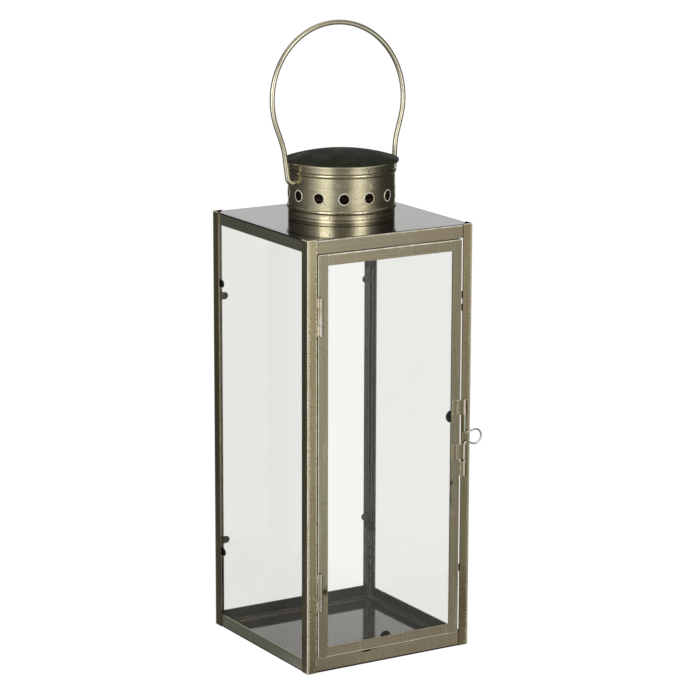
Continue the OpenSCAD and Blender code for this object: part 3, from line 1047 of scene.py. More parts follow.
@dataclass
class Body:
    """Posts, rails, roof and floor of the square body."""

    sheet: SheetWork
    half: float = BODY_HALF
    weld_r: float = 1.6 * MM
    weld_depth: float = 0.25 * MM
    # Places of the spot welds on the front left post, across and up
    welds: Pairs = ((-69.0, 292.5), (-69.5, 277.5), (-69.0, 78.8), (-69.5, 62.6), (-69.2, 3.6))

    def build(self) -> None:
        """Makes every piece of the body."""
        finishes = (BRASS_POST, WORN_EDGE_HIGHLIGHT, WELD_SCORCH, DARK_POST_INSIDE)
        for corner in ("front_left", "front_right", "back_left", "back_right"):
            post = self.sheet.dress(f"post_{corner}", "frame", finishes, sort=self._inside)
            if corner == "front_left":
                self._weld_pits(post)
        for side in ("front", "right", "back", "left"):
            for level in ("top", "bottom"):
                pair = self._rail_finishes(level, side)
                cut = is_cut if BRASS_FOOT in pair else None
                self.sheet.dress(f"{level}_rail_{side}", "frame", pair, sort=cut)
        # The roof's cut faces and rounded edges get painted shade; its front cut face gets the pale
        # edge finish, partly painted highlight.
        self.sheet.dress(
            "roof_plate",
            "frame",
            (ROOF_GLOSS, SEAM_SHADE, WORN_EDGE_HIGHLIGHT),
            folded=False,
            sort=lambda face: is_cut(face) * (1 + (face.normal.y < -FACING)),
        )
        # The floor plate's rounded edges get painted shade.
        self.sheet.dress("floor_plate", "frame", (FLOOR_GLOSS, SEAM_SHADE), folded=False)

    def _rail_finishes(self, level: str, side: str) -> tuple[MetalFinish, MetalFinish]:
        """The finish of a rail and of its edges: pale edges with painted highlight on the top rail
        in front, painted shade on the front foot rail's edges, the rail's own finish elsewhere.

        Args:
            level: Top or bottom.
            side: The side of the body.

        Returns:
            Both finishes.
        """
        if side == "front":
            return (BRASS_LEVEL, WORN_EDGE_HIGHLIGHT) if level == "top" else (BRASS_FOOT, SEAM_SHADE)
        plain = BRASS_LEVEL if side == "back" else BRASS_SIDE_LIT
        return plain, plain

    def _inside(self, face: BMFace) -> int:
        """Tells a post's inner faces, which look at the lantern's middle."""
        middle = face.calc_center_median()
        inward = -face.normal.x * middle.x - face.normal.y * middle.y
        return 3 if inward > 0.5 * self.half and not is_cut(face) else 0

    def _weld_pits(self, post: Piece) -> None:
        """Presses the spot welds' pits into a post."""
        pits = bmesh.new()
        lift = self.weld_r - self.weld_depth
        for across, up in self.welds:
            place = Matrix.Translation((across * MM, -self.half - lift, up * MM))
            bmesh.ops.create_icosphere(pits, subdivisions=3, radius=self.weld_r, matrix=place)
        for face in pits.faces:
            face.material_index = 2
        carve(post, pits)


@dataclass
class Panes:
    """Fixed panes with the tabs that hold them, and the door's stop."""

    sheet: SheetWork
    edge_width: float = 0.3 * MM

    def build(self) -> None:
        """Makes the panes, tabs and stop."""
        for side in ("left", "right", "back"):
            self.pane(f"glass_{side}", "frame")
            self.sheet.roll(f"glass_tabs_{side}", "frame", (TAB_METAL, TAB_RIM))
        self.sheet.dress("door_stop", "frame", (TAB_METAL, TAB_RIM), folded=False)

    def pane(self, node: str, body: str) -> None:
        """A pane with seamed and ground edges.

        Args:
            node: The frame's node.
            body: The body that it moves with.
        """
        bm = merged_copy(node)
        bevel_edges(bm, bm.edges[:], self.edge_width, 1)
        widest = max(f.calc_area() for f in bm.faces)
        for face in bm.faces:
            face.material_index = int(face.calc_area() < 0.5 * widest)
        publish(bm, f"{node}_pane", body, [node], (CLEAR_GLASS, GROUND_GLASS))


@dataclass
class Door:
    """Stiles, rails and glass of the door."""

    sheet: SheetWork
    panes: Panes

    def build(self) -> None:
        """Makes the door's pieces."""
        for side in ("hinge", "latch"):
            # The stiles' sides, which face the gaps, get painted shade.
            self.sheet.dress(
                f"door_{side}_stile",
                "door",
                (BRASS_STILE, WORN_EDGE_HIGHLIGHT, SEAM_SHADE),
                sort=lambda face: 2 * (abs(face.normal.x) > FACING),
            )
        for level in ("top", "bottom"):
            self.sheet.dress(f"door_{level}_rail", "door", (BRASS_LEVEL, WORN_EDGE_HIGHLIGHT))
        self.panes.pane("door_glass", "door")
        self.sheet.roll("door_glass_tabs", "door", (TAB_METAL, TAB_RIM))


@dataclass
class Hinges:
    """Leaves, knuckles and pins of the two hinges."""

    sheet: SheetWork
    hinge_shade_beyond: float = 0.0

    def build(self) -> None:
        """Makes both hinges."""
        for level in ("upper", "lower"):
            for body in ("frame", "door"):
                self.sheet.roll(
                    f"{level}_hinge_{body}_leaf",
                    body,
                    (HINGE_BARREL, LATCH_EDGE_HIGHLIGHT, HINGE_SIDE_SHADE),
                    lambda face: 2 * is_rolled_side(face, self.hinge_shade_beyond),
                )
            self.sheet.roll(f"{level}_hinge_pin", "frame", (DARK_STEEL, LATCH_EDGE_HIGHLIGHT))


class WireSweep:
    """A round wire that is run straight and bent, ring by ring."""

    # Radius and reach of the two rings that close a rounded end, against the wire's radius
    DOME = ((0.86, 0.1), (0.5, 0.19))

    def __init__(self, start: Vector, heading: Vector, radius: float, sides: int) -> None:
        """Starts the wire with a rounded end.

        Args:
            start: Middle of the wire's end.
            heading: Direction of its first run.
            radius: The wire's radius.
            sides: Number of faces round it.
        """
        self.bm = bmesh.new()
        self.layer = self.bm.verts.layers.float_vector.new(Place.WIRE.value)
        self.heading = heading.normalized()
        self.at = start.copy()
        self.length = 0.0
        self.radius = radius
        turn = self.heading.to_track_quat("Z", "Y").to_matrix().to_4x4()
        place = Matrix.Translation(start) @ turn
        made = bmesh.ops.create_circle(
            self.bm, cap_ends=False, segments=sides, radius=radius, matrix=place
        )
        self.ring: list[BMVert] = made["verts"]
        back = turn.inverted()
        for vert in self.ring:
            flat = back @ (vert.co - start)
            vert[self.layer] = Vector((flat.x, flat.y, 0.0))
        first = self.ring[:]
        self._round_end()
        self.ring = first

    def _step(self, move: Matrix, length: float) -> None:
        """Extrudes the open ring and moves the new one.

        Args:
            move: What brings the old ring to the new one.
            length: Length of wire between them.
        """
        sources, _ = extrude_ring(self.bm, self.ring)
        self.ring = list(sources)
        bmesh.ops.transform(self.bm, matrix=move, verts=self.ring)
        self.length += length
        for vert, source in sources.items():
            place = source[self.layer].copy()
            place.z = self.length
            vert[self.layer] = place

    def run(self, length: float) -> None:
        """Runs the wire straight on."""
        self._step(Matrix.Translation(self.heading * length), length)
        self.at = self.at + self.heading * length

    def bend(self, centre: Vector, axis: Vector, angle: float, steps: int) -> None:
        """Bends the wire round a centre.

        Args:
            centre: The bend's centre.
            axis: What it turns about.
            angle: How far, in radians.
            steps: Number of rings on the way.
        """
        turn = Matrix.Rotation(angle / steps, 4, axis)
        move = turned_about(centre, turn)
        arc = (self.at - centre).length * angle / steps
        for _ in range(steps):
            self._step(move, arc)
            self.at = move @ self.at
            self.heading = turn.to_3x3() @ self.heading

    def _round_end(self) -> None:
        """Closes the open ring with a low dome."""
        out = -self.heading if self.length == 0 else self.heading
        for share, reach in self.DOME:
            centre = sum((v.co for v in self.ring), Vector()) / len(self.ring)
            now = (self.ring[0].co - centre).length
            shrink = turned_about(centre, Matrix.Scale(share * self.radius / now, 4))
            self._step(Matrix.Translation(out * reach * self.radius) @ shrink, 0.0)
        bmesh.ops.contextual_create(self.bm, geom=ring_edges(self.bm, self.ring))

    def close(self) -> BMesh:
        """Closes the far end.

        Returns:
            The finished mesh, its faces outwards.
        """
        self._round_end()
        bmesh.ops.recalc_face_normals(self.bm, faces=self.bm.faces[:])
        return self.bm


@dataclass
class Latch:
    """Guides, keeper and the bolt of bent wire."""

    sheet: SheetWork
    axis_x: float = 68.55 * MM
    axis_y: float = -76.85 * MM
    ring_z: float = 173.9 * MM
    tip_z: float = 144.9 * MM
    top_z: float = 204.4 * MM
    wire_r: float = 0.735 * MM
    wire_sides: int = 24
    ring_r: float = 5.95 * MM
    ring_off: float = 9.6 * MM
    ring_steps: int = 36
    bend_r: float = 1.6 * MM
    bend_steps: int = 10
    rise: float = 5.8 * MM
    drop: float = 5.0 * MM
    latch_shade_beyond: float = -0.3
    flat_front: float = 0.99

    def build(self) -> None:
        """Makes the latch's pieces."""
        finishes = (LATCH_BARREL, LATCH_EDGE_HIGHLIGHT, LATCH_PLATE, LATCH_SIDE_SHADE)
        for node in ("latch_upper_guide", "latch_lower_guide"):
            self.sheet.roll(node, "door", finishes, self._plate)
        self.sheet.roll("latch_keeper", "frame", finishes, self._plate)
        publish(self._bolt(), "latch_bolt_wire", "bolt", ["latch_bolt"], (BOLT_WIRE,), WIRE_SMOOTH)

    def _plate(self, face: BMFace) -> int:
        """Tells the flat front of a guide's plate and strap, and the barrel's right side, which
        gets painted shade.
        """
        if face.normal.y < -self.flat_front and strip_width(face) > STRIP_WIDTH:
            return 2
        return 3 * is_rolled_side(face, self.latch_shade_beyond)

    def _neck(self, height: float) -> tuple[float, float]:
        """Slope and length of the straight neck between a bend and the ring.

        Args:
            height: Height between the ring's centre and where the bend leaves the axis.

        Returns:
            The slope in radians and the length.
        """
        across = self.ring_off - self.bend_r
        reach = math.hypot(across, height)
        slope = math.asin((self.ring_r + self.bend_r) / reach) - math.atan2(height, across)
        sine, cosine = math.sin(slope), math.cos(slope)
        start = Vector((self.bend_r * (1 + sine), height - self.bend_r * cosine))
        end = Vector((self.ring_off - self.ring_r * sine, self.ring_r * cosine))
        return slope, (end - start).length

    def _bolt(self) -> BMesh:
        """The bolt's wire: rod, finger ring and rod."""
        right, back, up = Vector((1, 0, 0)), Vector((0, 1, 0)), Vector((0, 0, 1))
        origin = Vector((self.axis_x, self.axis_y, self.ring_z))
        low_slope, low_neck = self._neck(self.drop)
        high_slope, high_neck = self._neck(self.rise)
        low = origin + right * self.bend_r - up * self.drop
        high = origin + right * self.bend_r + up * self.rise
        ring = origin + right * self.ring_off
        tip = Vector((self.axis_x, self.axis_y, self.tip_z))
        wire = WireSweep(tip, up, self.wire_r, self.wire_sides)
        wire.run(self.ring_z - self.drop - self.tip_z)
        wire.bend(low, back, math.pi / 2 + low_slope, self.bend_steps)
        wire.run(low_neck)
        wire.bend(ring, -back, math.pi + low_slope + high_slope, self.ring_steps)
        wire.run(high_neck)
        wire.bend(high, back, math.pi / 2 + high_slope, self.bend_steps)
        wire.run(self.top_z - self.ring_z - self.rise)
        return wire.close()


@dataclass
class Handle:
    """Carrying handle of one bent wire, its ends in the chimney's holes."""

    roof_z: float = BODY_TOP
    wire_r: float = 1.985 * MM
    wire_sides: int = 32
    bow_r: float = 59.9 * MM
    bow_z: float = 94.0 * MM
    bow_steps: int = 120
    leg_lean: float = math.radians(19)
    foot_x: float = 48.7 * MM
    knee_z: float = 58.4 * MM
    knee_r: float = 60.0 * MM
    knee_steps: int = 10
    elbow_r: float = 4.5 * MM
    elbow_steps: int = 12
    pivot_z: float = 31.2 * MM
    end_x: float = 38.5 * MM
    lean_back: float = math.radians(4.5)

    def build(self) -> None:
        """Makes the handle."""
        over, back = Vector((0, -1, 0)), Vector((0, 1, 0))
        top_x = self.bow_r * math.cos(self.leg_lean)
        top_z = self.bow_z - self.bow_r * math.sin(self.leg_lean)
        knee_x = top_x - (top_z - self.knee_z) * math.tan(self.leg_lean)
        foot_lean = math.atan2(knee_x - self.foot_x, self.knee_z - self.pivot_z)
        turned = self.leg_lean - foot_lean
        trim = self.knee_r * math.tan(turned / 2)
        quarter = math.pi / 2 - foot_lean
        elbow_x = self.foot_x - self.elbow_r * math.tan(quarter / 2)
        elbow = self._centre(elbow_x, self.pivot_z + self.elbow_r)
        outward = Vector((math.cos(foot_lean), 0, -math.sin(foot_lean)))
        low = elbow + self.elbow_r * outward
        knee = self._centre(knee_x, self.knee_z)
        knee_low = knee - trim * Vector((math.sin(foot_lean), 0, math.cos(foot_lean)))
        knee_high = knee + trim * Vector((math.sin(self.leg_lean), 0, math.cos(self.leg_lean)))
        centre = knee_low + self.knee_r * outward
        shin = (knee_low - low).length
        thigh = (self._centre(top_x, top_z) - knee_high).length
        end = self._centre(self.end_x, self.pivot_z)
        wire = WireSweep(end, Vector((1, 0, 0)), self.wire_r, self.wire_sides)
        wire.run(elbow_x - self.end_x)
        wire.bend(elbow, over, quarter, self.elbow_steps)
        wire.run(shin)
        wire.bend(centre, back, turned, self.knee_steps)
        wire.run(thigh)
        bow = self._centre(0, self.bow_z)
        wire.bend(bow, over, math.pi + 2 * self.leg_lean, self.bow_steps)
        wire.run(thigh)
        wire.bend(self._across(centre), back, turned, self.knee_steps)
        wire.run(shin)
        wire.bend(self._across(elbow), over, quarter, self.elbow_steps)
        wire.run(elbow_x - self.end_x)
        bm = wire.close()
        lean = Matrix.Rotation(-self.lean_back, 4, "X")
        place = turned_about(self._centre(0, self.pivot_z), lean)
        bmesh.ops.transform(bm, matrix=place, verts=bm.verts[:])
        publish(bm, "carry_handle_wire", "handle", ["carry_handle"], (DRAWN_WIRE,), WIRE_SMOOTH)

    def _centre(self, x: float, z: float) -> Vector:
        """A point in the handle's plane, from its height above the roof."""
        return Vector((x, 0, self.roof_z + z))

    def _across(self, point: Vector) -> Vector:
        """The same point on the left side."""
        return Vector((-point.x, point.y, point.z))


@dataclass
class Chimney:
    """Vented chimney with two rolled beads, its cap and its collar."""

    roof_z: float = BODY_TOP
    outer_r: float = 42.4 * MM
    height: float = 47.2 * MM
    wall: float = 0.9 * MM
    flange_out: float = 2.1 * MM
    # How far the flange's bend stands out and below the flange, millimetres
    flange_bend: Pairs = ((0.0, 0.4), (0.12, 0.1), (0.4, 0.0))
    bead_r: float = 2.0 * MM
    bead_steps: int = 6
    bead_zs: tuple[float, float] = (10.5 * MM, 39.2 * MM)
    # Heights of the rings that bound the upper bead's plain wall
    wall_zs: tuple[float, float] = (34.0 * MM, 42.0 * MM)
    vents: int = 13
    columns: int = 12
    vent_z: float = 21.6 * MM
    vent_turn: float = math.radians(-118)
    band_half: float = 7.5 * MM
    # Radius and lift of the rings round a vent: a raised burr that falls to the wall
    vent_rings: Pairs = ((4.0, 0.12), (4.1, 0.24), (4.65, 0.25), (4.75, 0.1), (4.9, 0), (6.2, 0))
    burr_rings: int = 3
    # Height and depth of the foot's dented rings, millimetres
    foot_dents: Pairs = (
        (0.0, -0.35), (0.35, -0.05), (1.2, 0.0), (2.2, 0.02), (2.9, 0.16),
        (3.6, 0.02), (4.8, 0.0), (5.6, 0.12), (6.3, 0.0), (7.6, 0.0),
    )
    lip_shade_low: float = 45.2 * MM
    hole_r: float = 2.3 * MM
    hole_z: float = 31.2 * MM
    hole_sides: int = 40
    hole_reach: float = 2.4  # Length of the drill through both walls, in radii
    cap_r: float = 45.5 * MM
    cap_rise: float = 7.2 * MM
    cap_rings: int = 28
    cap_rim: float = 0.5 * MM
    # How far the cap's rolled edge and lip stand inside and below its rim, millimetres
    cap_edge: Pairs = ((0.22, -0.02), (0.0, 0.3), (0.0, 1.2))
    lip_drop: float = 0.1 * MM

    def build(self) -> None:
        """Makes the chimney, cap and collar."""
        self._shell()
        self._cap()
        self._collar()

    def _bead(self, z: float) -> list[tuple[float, float]]:
        """Section of a rolled bead from its lower to its upper root.

        Args:
            z: Height of its middle above the roof.

        Returns:
            Radius and height of each point.
        """
        centre = self.outer_r - self.wall
        span = math.acos(self.wall / self.bead_r)
        angles = [span * (i / self.bead_steps - 1) for i in range(2 * self.bead_steps + 1)]
        return [(centre + self.bead_r * math.cos(a), z + self.bead_r * math.sin(a)) for a in angles]

    def _revolve(self, bm: BMesh, section: Sequence[tuple[float, float]], start: float) -> None:
        """Spins a section round the chimney's axis.

        Args:
            bm: The mesh that gets it.
            section: Radius and height above the roof of its points.
            start: Bearing of the first seam.
        """
        turn = Matrix.Rotation(start, 4, "Z")
        verts = [bm.verts.new(turn @ Vector((r, 0, self.roof_z + z))) for r, z in section]
        edges = [bm.edges.new(pair) for pair in zip(verts, verts[1:])]
        bmesh.ops.spin(
            bm,
            geom=verts + edges,
            cent=(0, 0, 0),
            axis=(0, 0, 1),
            dvec=(0, 0, 0),
            angle=2 * math.pi,
            steps=self.vents * self.columns,
            use_merge=True,
            use_duplicate=False,
        )

    def _vent(self, bm: BMesh, bearing: float) -> None:
        """One vent with its burr, in a square patch of the wall.

        Args:
            bm: The mesh that gets it.
            bearing: Direction of the vent's middle.
        """
        half = math.pi * self.outer_r / self.vents
        rings = [(radius * MM, lift * MM) for radius, lift in self.vent_rings]
        made = bmesh.ops.create_circle(
            bm, cap_ends=False, segments=4 * self.columns, radius=rings[0][0]
        )
        ring: list[BMVert] = made["verts"]
        patch = set(ring)
        turns = {vert: math.atan2(vert.co.y, vert.co.x) for vert in ring}
        for vert in ring:
            vert.co.z = rings[0][1]
        for step in range(1, len(rings) + 1):
            sources, faces = extrude_ring(bm, ring)
            # The burr's rings take the pale edge finish, partly painted highlight on the rim.
            for face in faces:
                face.material_index = int(step <= self.burr_rings)
            for vert, source in sources.items():
                turn = turns[vert] = turns[source]
                if step < len(rings):
                    radius, lift = rings[step]
                    vert.co = polar(radius, turn, lift)
                else:
                    vert.co = self._square_point(turn, half)
            ring = list(sources)
            patch |= set(ring)
        for vert in patch:
            angle = bearing + vert.co.x / self.outer_r
            height = self.roof_z + self.vent_z + vert.co.y
            vert.co = polar(self.outer_r + vert.co.z, angle, height)

    def _square_point(self, angle: float, half: float) -> Vector:
        """Place on a patch's border for a direction from its middle.

        Args:
            angle: The direction, corners at odd multiples of 45 degrees.
            half: Half the patch's width.

        Returns:
            The place, evenly spaced along each side.
        """
        side = round(angle / (math.pi / 2))
        along = (angle - side * math.pi / 2) / (math.pi / 4)
        places = (
            (half, along * self.band_half),
            (-along * half, self.band_half),
            (-half, -along * self.band_half),
            (along * half, -self.band_half),
        )
        across, up = places[side % 4]
        return Vector((across, up, 0.0))

    def _shell(self) -> None:
        """The chimney's wall with beads, vents, flange and handle holes."""
        bm = bmesh.new()
        low, high = self.vent_z - self.band_half, self.vent_z + self.band_half
        start = self.vent_turn - math.pi / self.vents
        wall = self.outer_r
        dents = [(wall + out * MM, z * MM) for z, out in self.foot_dents]
        lower = [*dents, *self._bead(self.bead_zs[0]), (wall, low)]
        shoulder = self.height - self.wall
        upper = [
            (wall, high),
            (wall, self.hole_z),
            (wall, self.wall_zs[0]),
            *self._bead(self.bead_zs[1]),
            (wall, self.wall_zs[1]),
            *((wall + out * MM, shoulder - drop * MM) for out, drop in self.flange_bend),
            (wall + self.flange_out, shoulder),
        ]
        self._revolve(bm, lower, start)
        self._revolve(bm, upper, start)
        for i in range(self.vents):
            self._vent(bm, self.vent_turn + i * 2 * math.pi / self.vents)
        self._face_out(bm)
        # The band of wall and flange under the cap's lip gets painted shade.
        for face in bm.faces:
            if face.calc_center_median().z > self.roof_z + self.lip_shade_low:
                face.material_index = 2
        finishes = (BRASS_TURNED, WORN_EDGE_HIGHLIGHT, SOOT_AND_LIP_SHADE, SOOT_AND_LIP_SHADE, SOOT_AND_LIP_SHADE)
        piece = publish(bm, "chimney_shell", "frame", ["chimney"], finishes)
        self._thicken(piece, 2)
        holes = bmesh.new()
        pivot = Matrix.Translation((0, 0, self.roof_z + self.hole_z))
        bmesh.ops.create_cone(
            holes,
            cap_ends=True,
            segments=self.hole_sides,
            radius1=self.hole_r,
            radius2=self.hole_r,
            depth=self.hole_reach * self.outer_r,
            matrix=pivot @ Matrix.Rotation(math.pi / 2, 4, "Y"),
        )
        carve(piece, holes)
        shade_smooth(piece.data, TURNED_SMOOTH)

    def _face_out(self, bm: BMesh) -> None:
        """Joins an open skin's seams and turns its faces away from the axis or up."""
        bmesh.ops.remove_doubles(bm, verts=bm.verts[:], dist=SEAM_WELD)
        bmesh.ops.recalc_face_normals(bm, faces=bm.faces[:])
        face = max(bm.faces, key=lambda f: f.calc_area())
        middle = face.calc_center_median()
        if face.normal.dot(Vector((middle.x, middle.y, self.outer_r))) < 0:
            bmesh.ops.reverse_faces(bm, faces=bm.faces[:])

    def _thicken(self, piece: Piece, inner: int = 0) -> None:
        """Gives a skin the sheet's thickness, inwards.

        Args:
            piece: The skin.
            inner: How far on in the list the inner face's finish comes.
        """
        modify(
            piece,
            "SOLIDIFY",
            material_offset=inner,
            thickness=self.wall,
            offset=-1.0,
            use_even_offset=True,
        )

    def _cap(self) -> None:
        """The shallow dome with its turned-down lip."""
        bm = bmesh.new()
        sphere = (self.cap_r**2 + self.cap_rise**2) / (2 * self.cap_rise)
        centre = self.height + self.cap_rise - sphere
        span = math.asin((self.cap_r - self.cap_rim) / sphere)
        angles = [span * i / self.cap_rings for i in range(self.cap_rings + 1)]
        dome = [(sphere * math.sin(a), centre + sphere * math.cos(a)) for a in angles]
        edge = [(self.cap_r - x * MM, self.height - z * MM) for x, z in self.cap_edge]
        self._revolve(bm, dome + edge, 0.0)
        self._face_out(bm)
        for face in bm.faces:
            if face.calc_center_median().z < self.roof_z + self.height - self.lip_drop:
                face.material_index = 1
        piece = publish(bm, "chimney_cap_dome", "frame", ["chimney_cap"], (CAP_DARK, BRASS_TURNED))
        self._thicken(piece)
        shade_smooth(piece.data, TURNED_SMOOTH)

    def _collar(self) -> None:
        """The collar inside the chimney's foot keeps its solid and gets its finish."""
        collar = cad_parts["chimney_collar"]
        collar.data.materials.clear()
        collar.data.materials.append(DARK_STEEL.material())


@dataclass
class Softbox:
    """A lamp with a large white face."""

    name: str
    bearing: float
    size: tuple[float, float]
    radiance: float
    distance: float = 1.9
    height: float = 0.95


@dataclass
class Studio:
    """Camera, lamps, pale floor and surroundings."""

    eye: tuple[float, float, float] = (-1.19956, -1.99408, 0.77687)
    yaw: float = math.radians(-31.1664)
    pitch: float = math.radians(12.9969)
    roll: float = math.radians(0.1782)
    lens_mm: float = 154.487
    sensor_mm: float = 36.0
    clip_end: float = 60.0
    ground_z: float = -0.2 * MM
    ground_half: float = 14.0
    soft_light: float = 0.44
    boxes: tuple[Softbox, ...] = field(
        default_factory=lambda: (
            Softbox("softbox_left", -34.0, (0.9, 1.5), 2.5),
            Softbox("softbox_right", 42.0, (0.8, 1.5), 2.4),
        )
    )
    aim_z: float = 0.22
    # Brightness of the surroundings by bearing from the camera, degrees to the right
    ring: Pairs = (
        (-180, 1.0), (-164, 1.0), (-158, 0.06), (-135, 0.07), (-112, 0.1),
        (-92, 0.15), (-76, 0.28), (-62, 0.6), (-48, 0.95), (-35, 1.35),
        (-24, 1.2), (-16, 0.5), (-8, 0.33), (8, 0.33), (18, 0.45),
        (27, 1.1), (40, 1.35), (50, 0.9), (60, 0.6), (68, 0.42),
        (80, 0.14), (100, 0.06), (158, 0.05), (164, 1.0), (180, 1.0),
    )
    ring_top: float = 1.5
    overhead: float = 0.72
    # Brightness of the floor close to the lantern, on its left and in front of it
    near_left: float = 0.145
    near_front: float = 0.42
    near_end: float = 0.7
    # How the floor brightens away from the lantern, metres and share
    fall: Pairs = ((0.0, 0.55), (0.25, 0.7), (0.7, 0.8), (1.1, 0.9), (1.5, 1.0))
    # The floor's grey to soft light, and to the camera, which sees it lit to white
    paper: float = 0.8
    shadow_paper: float = 0.35
    white: float = 0.87

    def build(self) -> None:
        """Sets up the studio."""
        self._camera()
        for box in self.boxes:
            self._lamp(box)
        group = self._ring_group()
        self._ground(group)
        self._world(group)
        bpy.context.scene.view_settings.view_transform = "Standard"

    def _bearing(self, degrees: float) -> Vector:
        """Level direction at an angle to the right of the camera's own bearing."""
        toward = Vector((math.sin(self.yaw), -math.cos(self.yaw), 0.0))
        right = Vector((math.cos(self.yaw), math.sin(self.yaw), 0.0))
        angle = math.radians(degrees)
        return toward * math.cos(angle) + right * math.sin(angle)

    def _camera(self) -> None:
        """Stands the camera where the photograph was taken from."""
        camera = bpy.data.cameras.new("camera")
        camera.lens = self.lens_mm
        camera.sensor_width = self.sensor_mm
        camera.clip_end = self.clip_end
        flat = math.cos(self.pitch)
        back = Vector((math.sin(self.yaw) * flat, -math.cos(self.yaw) * flat, math.sin(self.pitch)))
        level = Vector((math.cos(self.yaw), math.sin(self.yaw), 0.0))
        up = back.cross(level)
        right = level * math.cos(self.roll) + up * math.sin(self.roll)
        turn = Matrix((right, back.cross(right), back)).transposed().to_4x4()
        rig = add_object("camera", camera)
        rig.matrix_world = Matrix.Translation(self.eye) @ turn
        bpy.context.scene.camera = rig

    def _lamp(self, box: Softbox) -> None:
        """Hangs one softbox, facing the lantern.

        Args:
            box: Its size, place and strength.
        """
        light = bpy.data.lights.new(box.name, "AREA")
        light.shape = "RECTANGLE"
        light.size, light.size_y = box.size
        light.energy = box.radiance * math.pi * box.size[0] * box.size[1]
        rig = add_object(box.name, light)
        rig.location = self._bearing(box.bearing) * box.distance + Vector((0, 0, box.height))
        aim = Vector((0, 0, self.aim_z)) - rig.location
        rig.rotation_euler = aim.to_track_quat("-Z", "Y").to_euler()
        rig.visible_camera = False
        rig.visible_transmission = False

    def _ring_group(self) -> Tree:
        """Node group that gives the brightness of the surroundings in a direction.

        Returns:
            A group with a vector in and a level out.
        """
        group = bpy.data.node_groups.new("studio_ring", "ShaderNodeTree")
        group.interface.new_socket("Direction", in_out="INPUT", socket_type="NodeSocketVector")
        group.interface.new_socket("Level", in_out="OUTPUT", socket_type="NodeSocketFloat")
        entry = add_node(group, "NodeGroupInput")
        parts = [
            add_node(group, "VectorMath", [entry, axis], "Value", operation="DOT_PRODUCT")
            for axis in (self._bearing(90.0), self._bearing(0.0))
        ]
        angle = add_node(group, "Math", parts, operation="ARCTAN2")
        turn = add_node(group, "Math", [angle, 1 / (2 * math.pi), 0.5], operation="MULTIPLY_ADD")
        stops = [(d / 360 + 0.5, grey(level / self.ring_top)) for d, level in self.ring]
        ramp = add_node(group, "ValToRGB", [turn], stops=stops)
        level = add_node(group, "Math", [ramp, self.ring_top], operation="MULTIPLY")
        add_node(group, "NodeGroupOutput", [level])
        return group

    def _rays(self, tree: Tree) -> tuple[Socket, Socket]:
        """Tells rays that see the white background from those that metal reflects.

        Args:
            tree: The tree that gets the nodes.

        Returns:
            1 for a camera ray, also through glass, and 1 for a reflected ray.
        """
        path = add_node(tree, "LightPath").node.outputs
        camera, glossy = path["Is Camera Ray"], path["Is Glossy Ray"]
        through, depth = path["Is Transmission Ray"], path["Glossy Depth"]
        bounced = add_node(tree, "Math", [depth, 0.5], operation="GREATER_THAN")
        mirrored = add_node(tree, "Math", [glossy, through], operation="SUBTRACT", use_clamp=True)
        shiny = add_node(tree, "Math", [mirrored, bounced], operation="MAXIMUM")
        seen = add_node(tree, "Math", [camera, through], operation="MAXIMUM")
        direct = add_node(tree, "Math", [seen, shiny], operation="SUBTRACT", use_clamp=True)
        return direct, shiny

    def _ground(self, group: Tree) -> None:
        """Lays the pale floor: white to the camera, and it keeps the lantern's shadow.

        Args:
            group: Brightness of the surroundings by direction.
        """
        bm = bmesh.new()
        level = Matrix.Translation((0, 0, self.ground_z))
        bmesh.ops.create_grid(bm, x_segments=1, y_segments=1, size=self.ground_half, matrix=level)
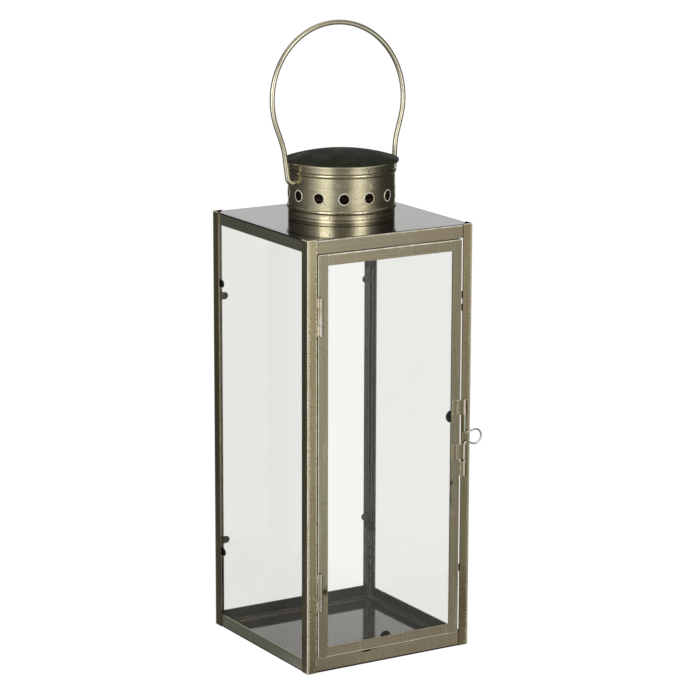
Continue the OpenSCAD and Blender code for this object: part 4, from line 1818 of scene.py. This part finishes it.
        # Matt studio paper. Metal mirrors the brightness of the ring instead of it.
        material = new_material("pale_studio_floor")
        tree = material.node_tree
        direct, shiny = self._rays(tree)
        place = add_node(tree, "TexCoord", out="Object")
        ring = add_node(tree, "Group", [place], node_tree=group)
        away = add_node(tree, "VectorMath", [place], "Value", operation="LENGTH")
        reach = self.fall[-1][0]
        share = add_node(tree, "Math", [away, reach], operation="DIVIDE")
        stops = [(metres / reach, grey(level)) for metres, level in self.fall]
        fall = add_node(tree, "ValToRGB", [share], stops=stops)
        glow = add_node(tree, "Math", [ring, fall], operation="MULTIPLY")
        diagonal = (1.0, -1.0, 0.0)
        side = add_node(tree, "VectorMath", [place, diagonal], "Value", operation="DOT_PRODUCT")
        spread = {"To Min": self.near_left, "To Max": self.near_front}
        near = add_node(
            tree,
            "MapRange",
            {"Value": side, "From Min": -BODY_HALF, "From Max": BODY_HALF, **spread},
        )
        spread = {"From Min": 2 * BODY_HALF, "From Max": self.near_end}
        beyond = add_node(tree, "MapRange", {"Value": away, **spread})
        glow = add_node(tree, "Mix", {0: beyond, 2: near, 3: glow}, data_type="FLOAT")
        paper = add_node(tree, "BsdfDiffuse", {"Color": grey(self.paper)})
        mirror = add_node(tree, "Emission", {"Strength": glow})
        shade = add_node(tree, "BsdfDiffuse", {"Color": grey(self.shadow_paper)})
        white = add_node(tree, "Emission", {"Strength": self.white})
        seen = add_node(tree, "AddShader", [shade, white])
        mixed = add_node(tree, "MixShader", [shiny, paper, mirror])
        mixed = add_node(tree, "MixShader", [direct, mixed, seen])
        add_node(tree, "OutputMaterial", {"Surface": mixed})
        mesh = finished_mesh(bm, "ground")
        mesh.materials.append(material)
        add_object("ground", mesh)

    def _world(self, group: Tree) -> None:
        """Soft light from all round, a white backdrop and dimmer sides.

        Args:
            group: Brightness of the surroundings by direction.
        """
        world = bpy.data.worlds.new("studio")
        world.use_nodes = True
        tree = world.node_tree
        tree.nodes.clear()
        direct, shiny = self._rays(tree)
        towards = add_node(tree, "TexCoord", out="Generated")
        ring = add_node(tree, "Group", [towards], node_tree=group)
        up = add_node(tree, "SeparateXYZ", [towards], "Z")
        low = add_node(
            tree,
            "MapRange",
            {"Value": up, "From Min": 0.3, "From Max": 0.5, "To Min": 0.8, "To Max": 0.2},
        )
        glow = add_node(tree, "Math", [ring, low], operation="MULTIPLY")
        over = add_node(
            tree,
            "MapRange",
            {"Value": up, "From Min": 0.5, "From Max": 0.8, "To Max": self.overhead},
        )
        glow = add_node(tree, "Math", [glow, over], operation="MAXIMUM")
        level = add_node(tree, "Mix", {0: shiny, 2: self.soft_light, 3: glow}, data_type="FLOAT")
        level = add_node(tree, "Mix", {0: direct, 2: level, 3: 1.0}, data_type="FLOAT")
        back = add_node(tree, "Background", {"Color": grey(1.0), "Strength": level})
        add_node(tree, "OutputWorld", {"Surface": back})
        bpy.context.scene.world = world


def main() -> None:
    """Builds the lantern's sub-assemblies and the studio in order."""
    logging.basicConfig(level=logging.INFO, format="%(name)s: %(message)s")
    sheet = SheetWork()
    fine = SheetWork(edge_width=0.12 * MM)
    strip = SheetWork(edge_width=0.2 * MM)
    panes = Panes(fine)
    for part in (
        Body(sheet),
        panes,
        Door(sheet, panes),
        Hinges(strip),
        Latch(strip),
        Chimney(),
        Handle(),
        Studio(),
    ):
        part.build()


if __name__ == "__main__":
    main()
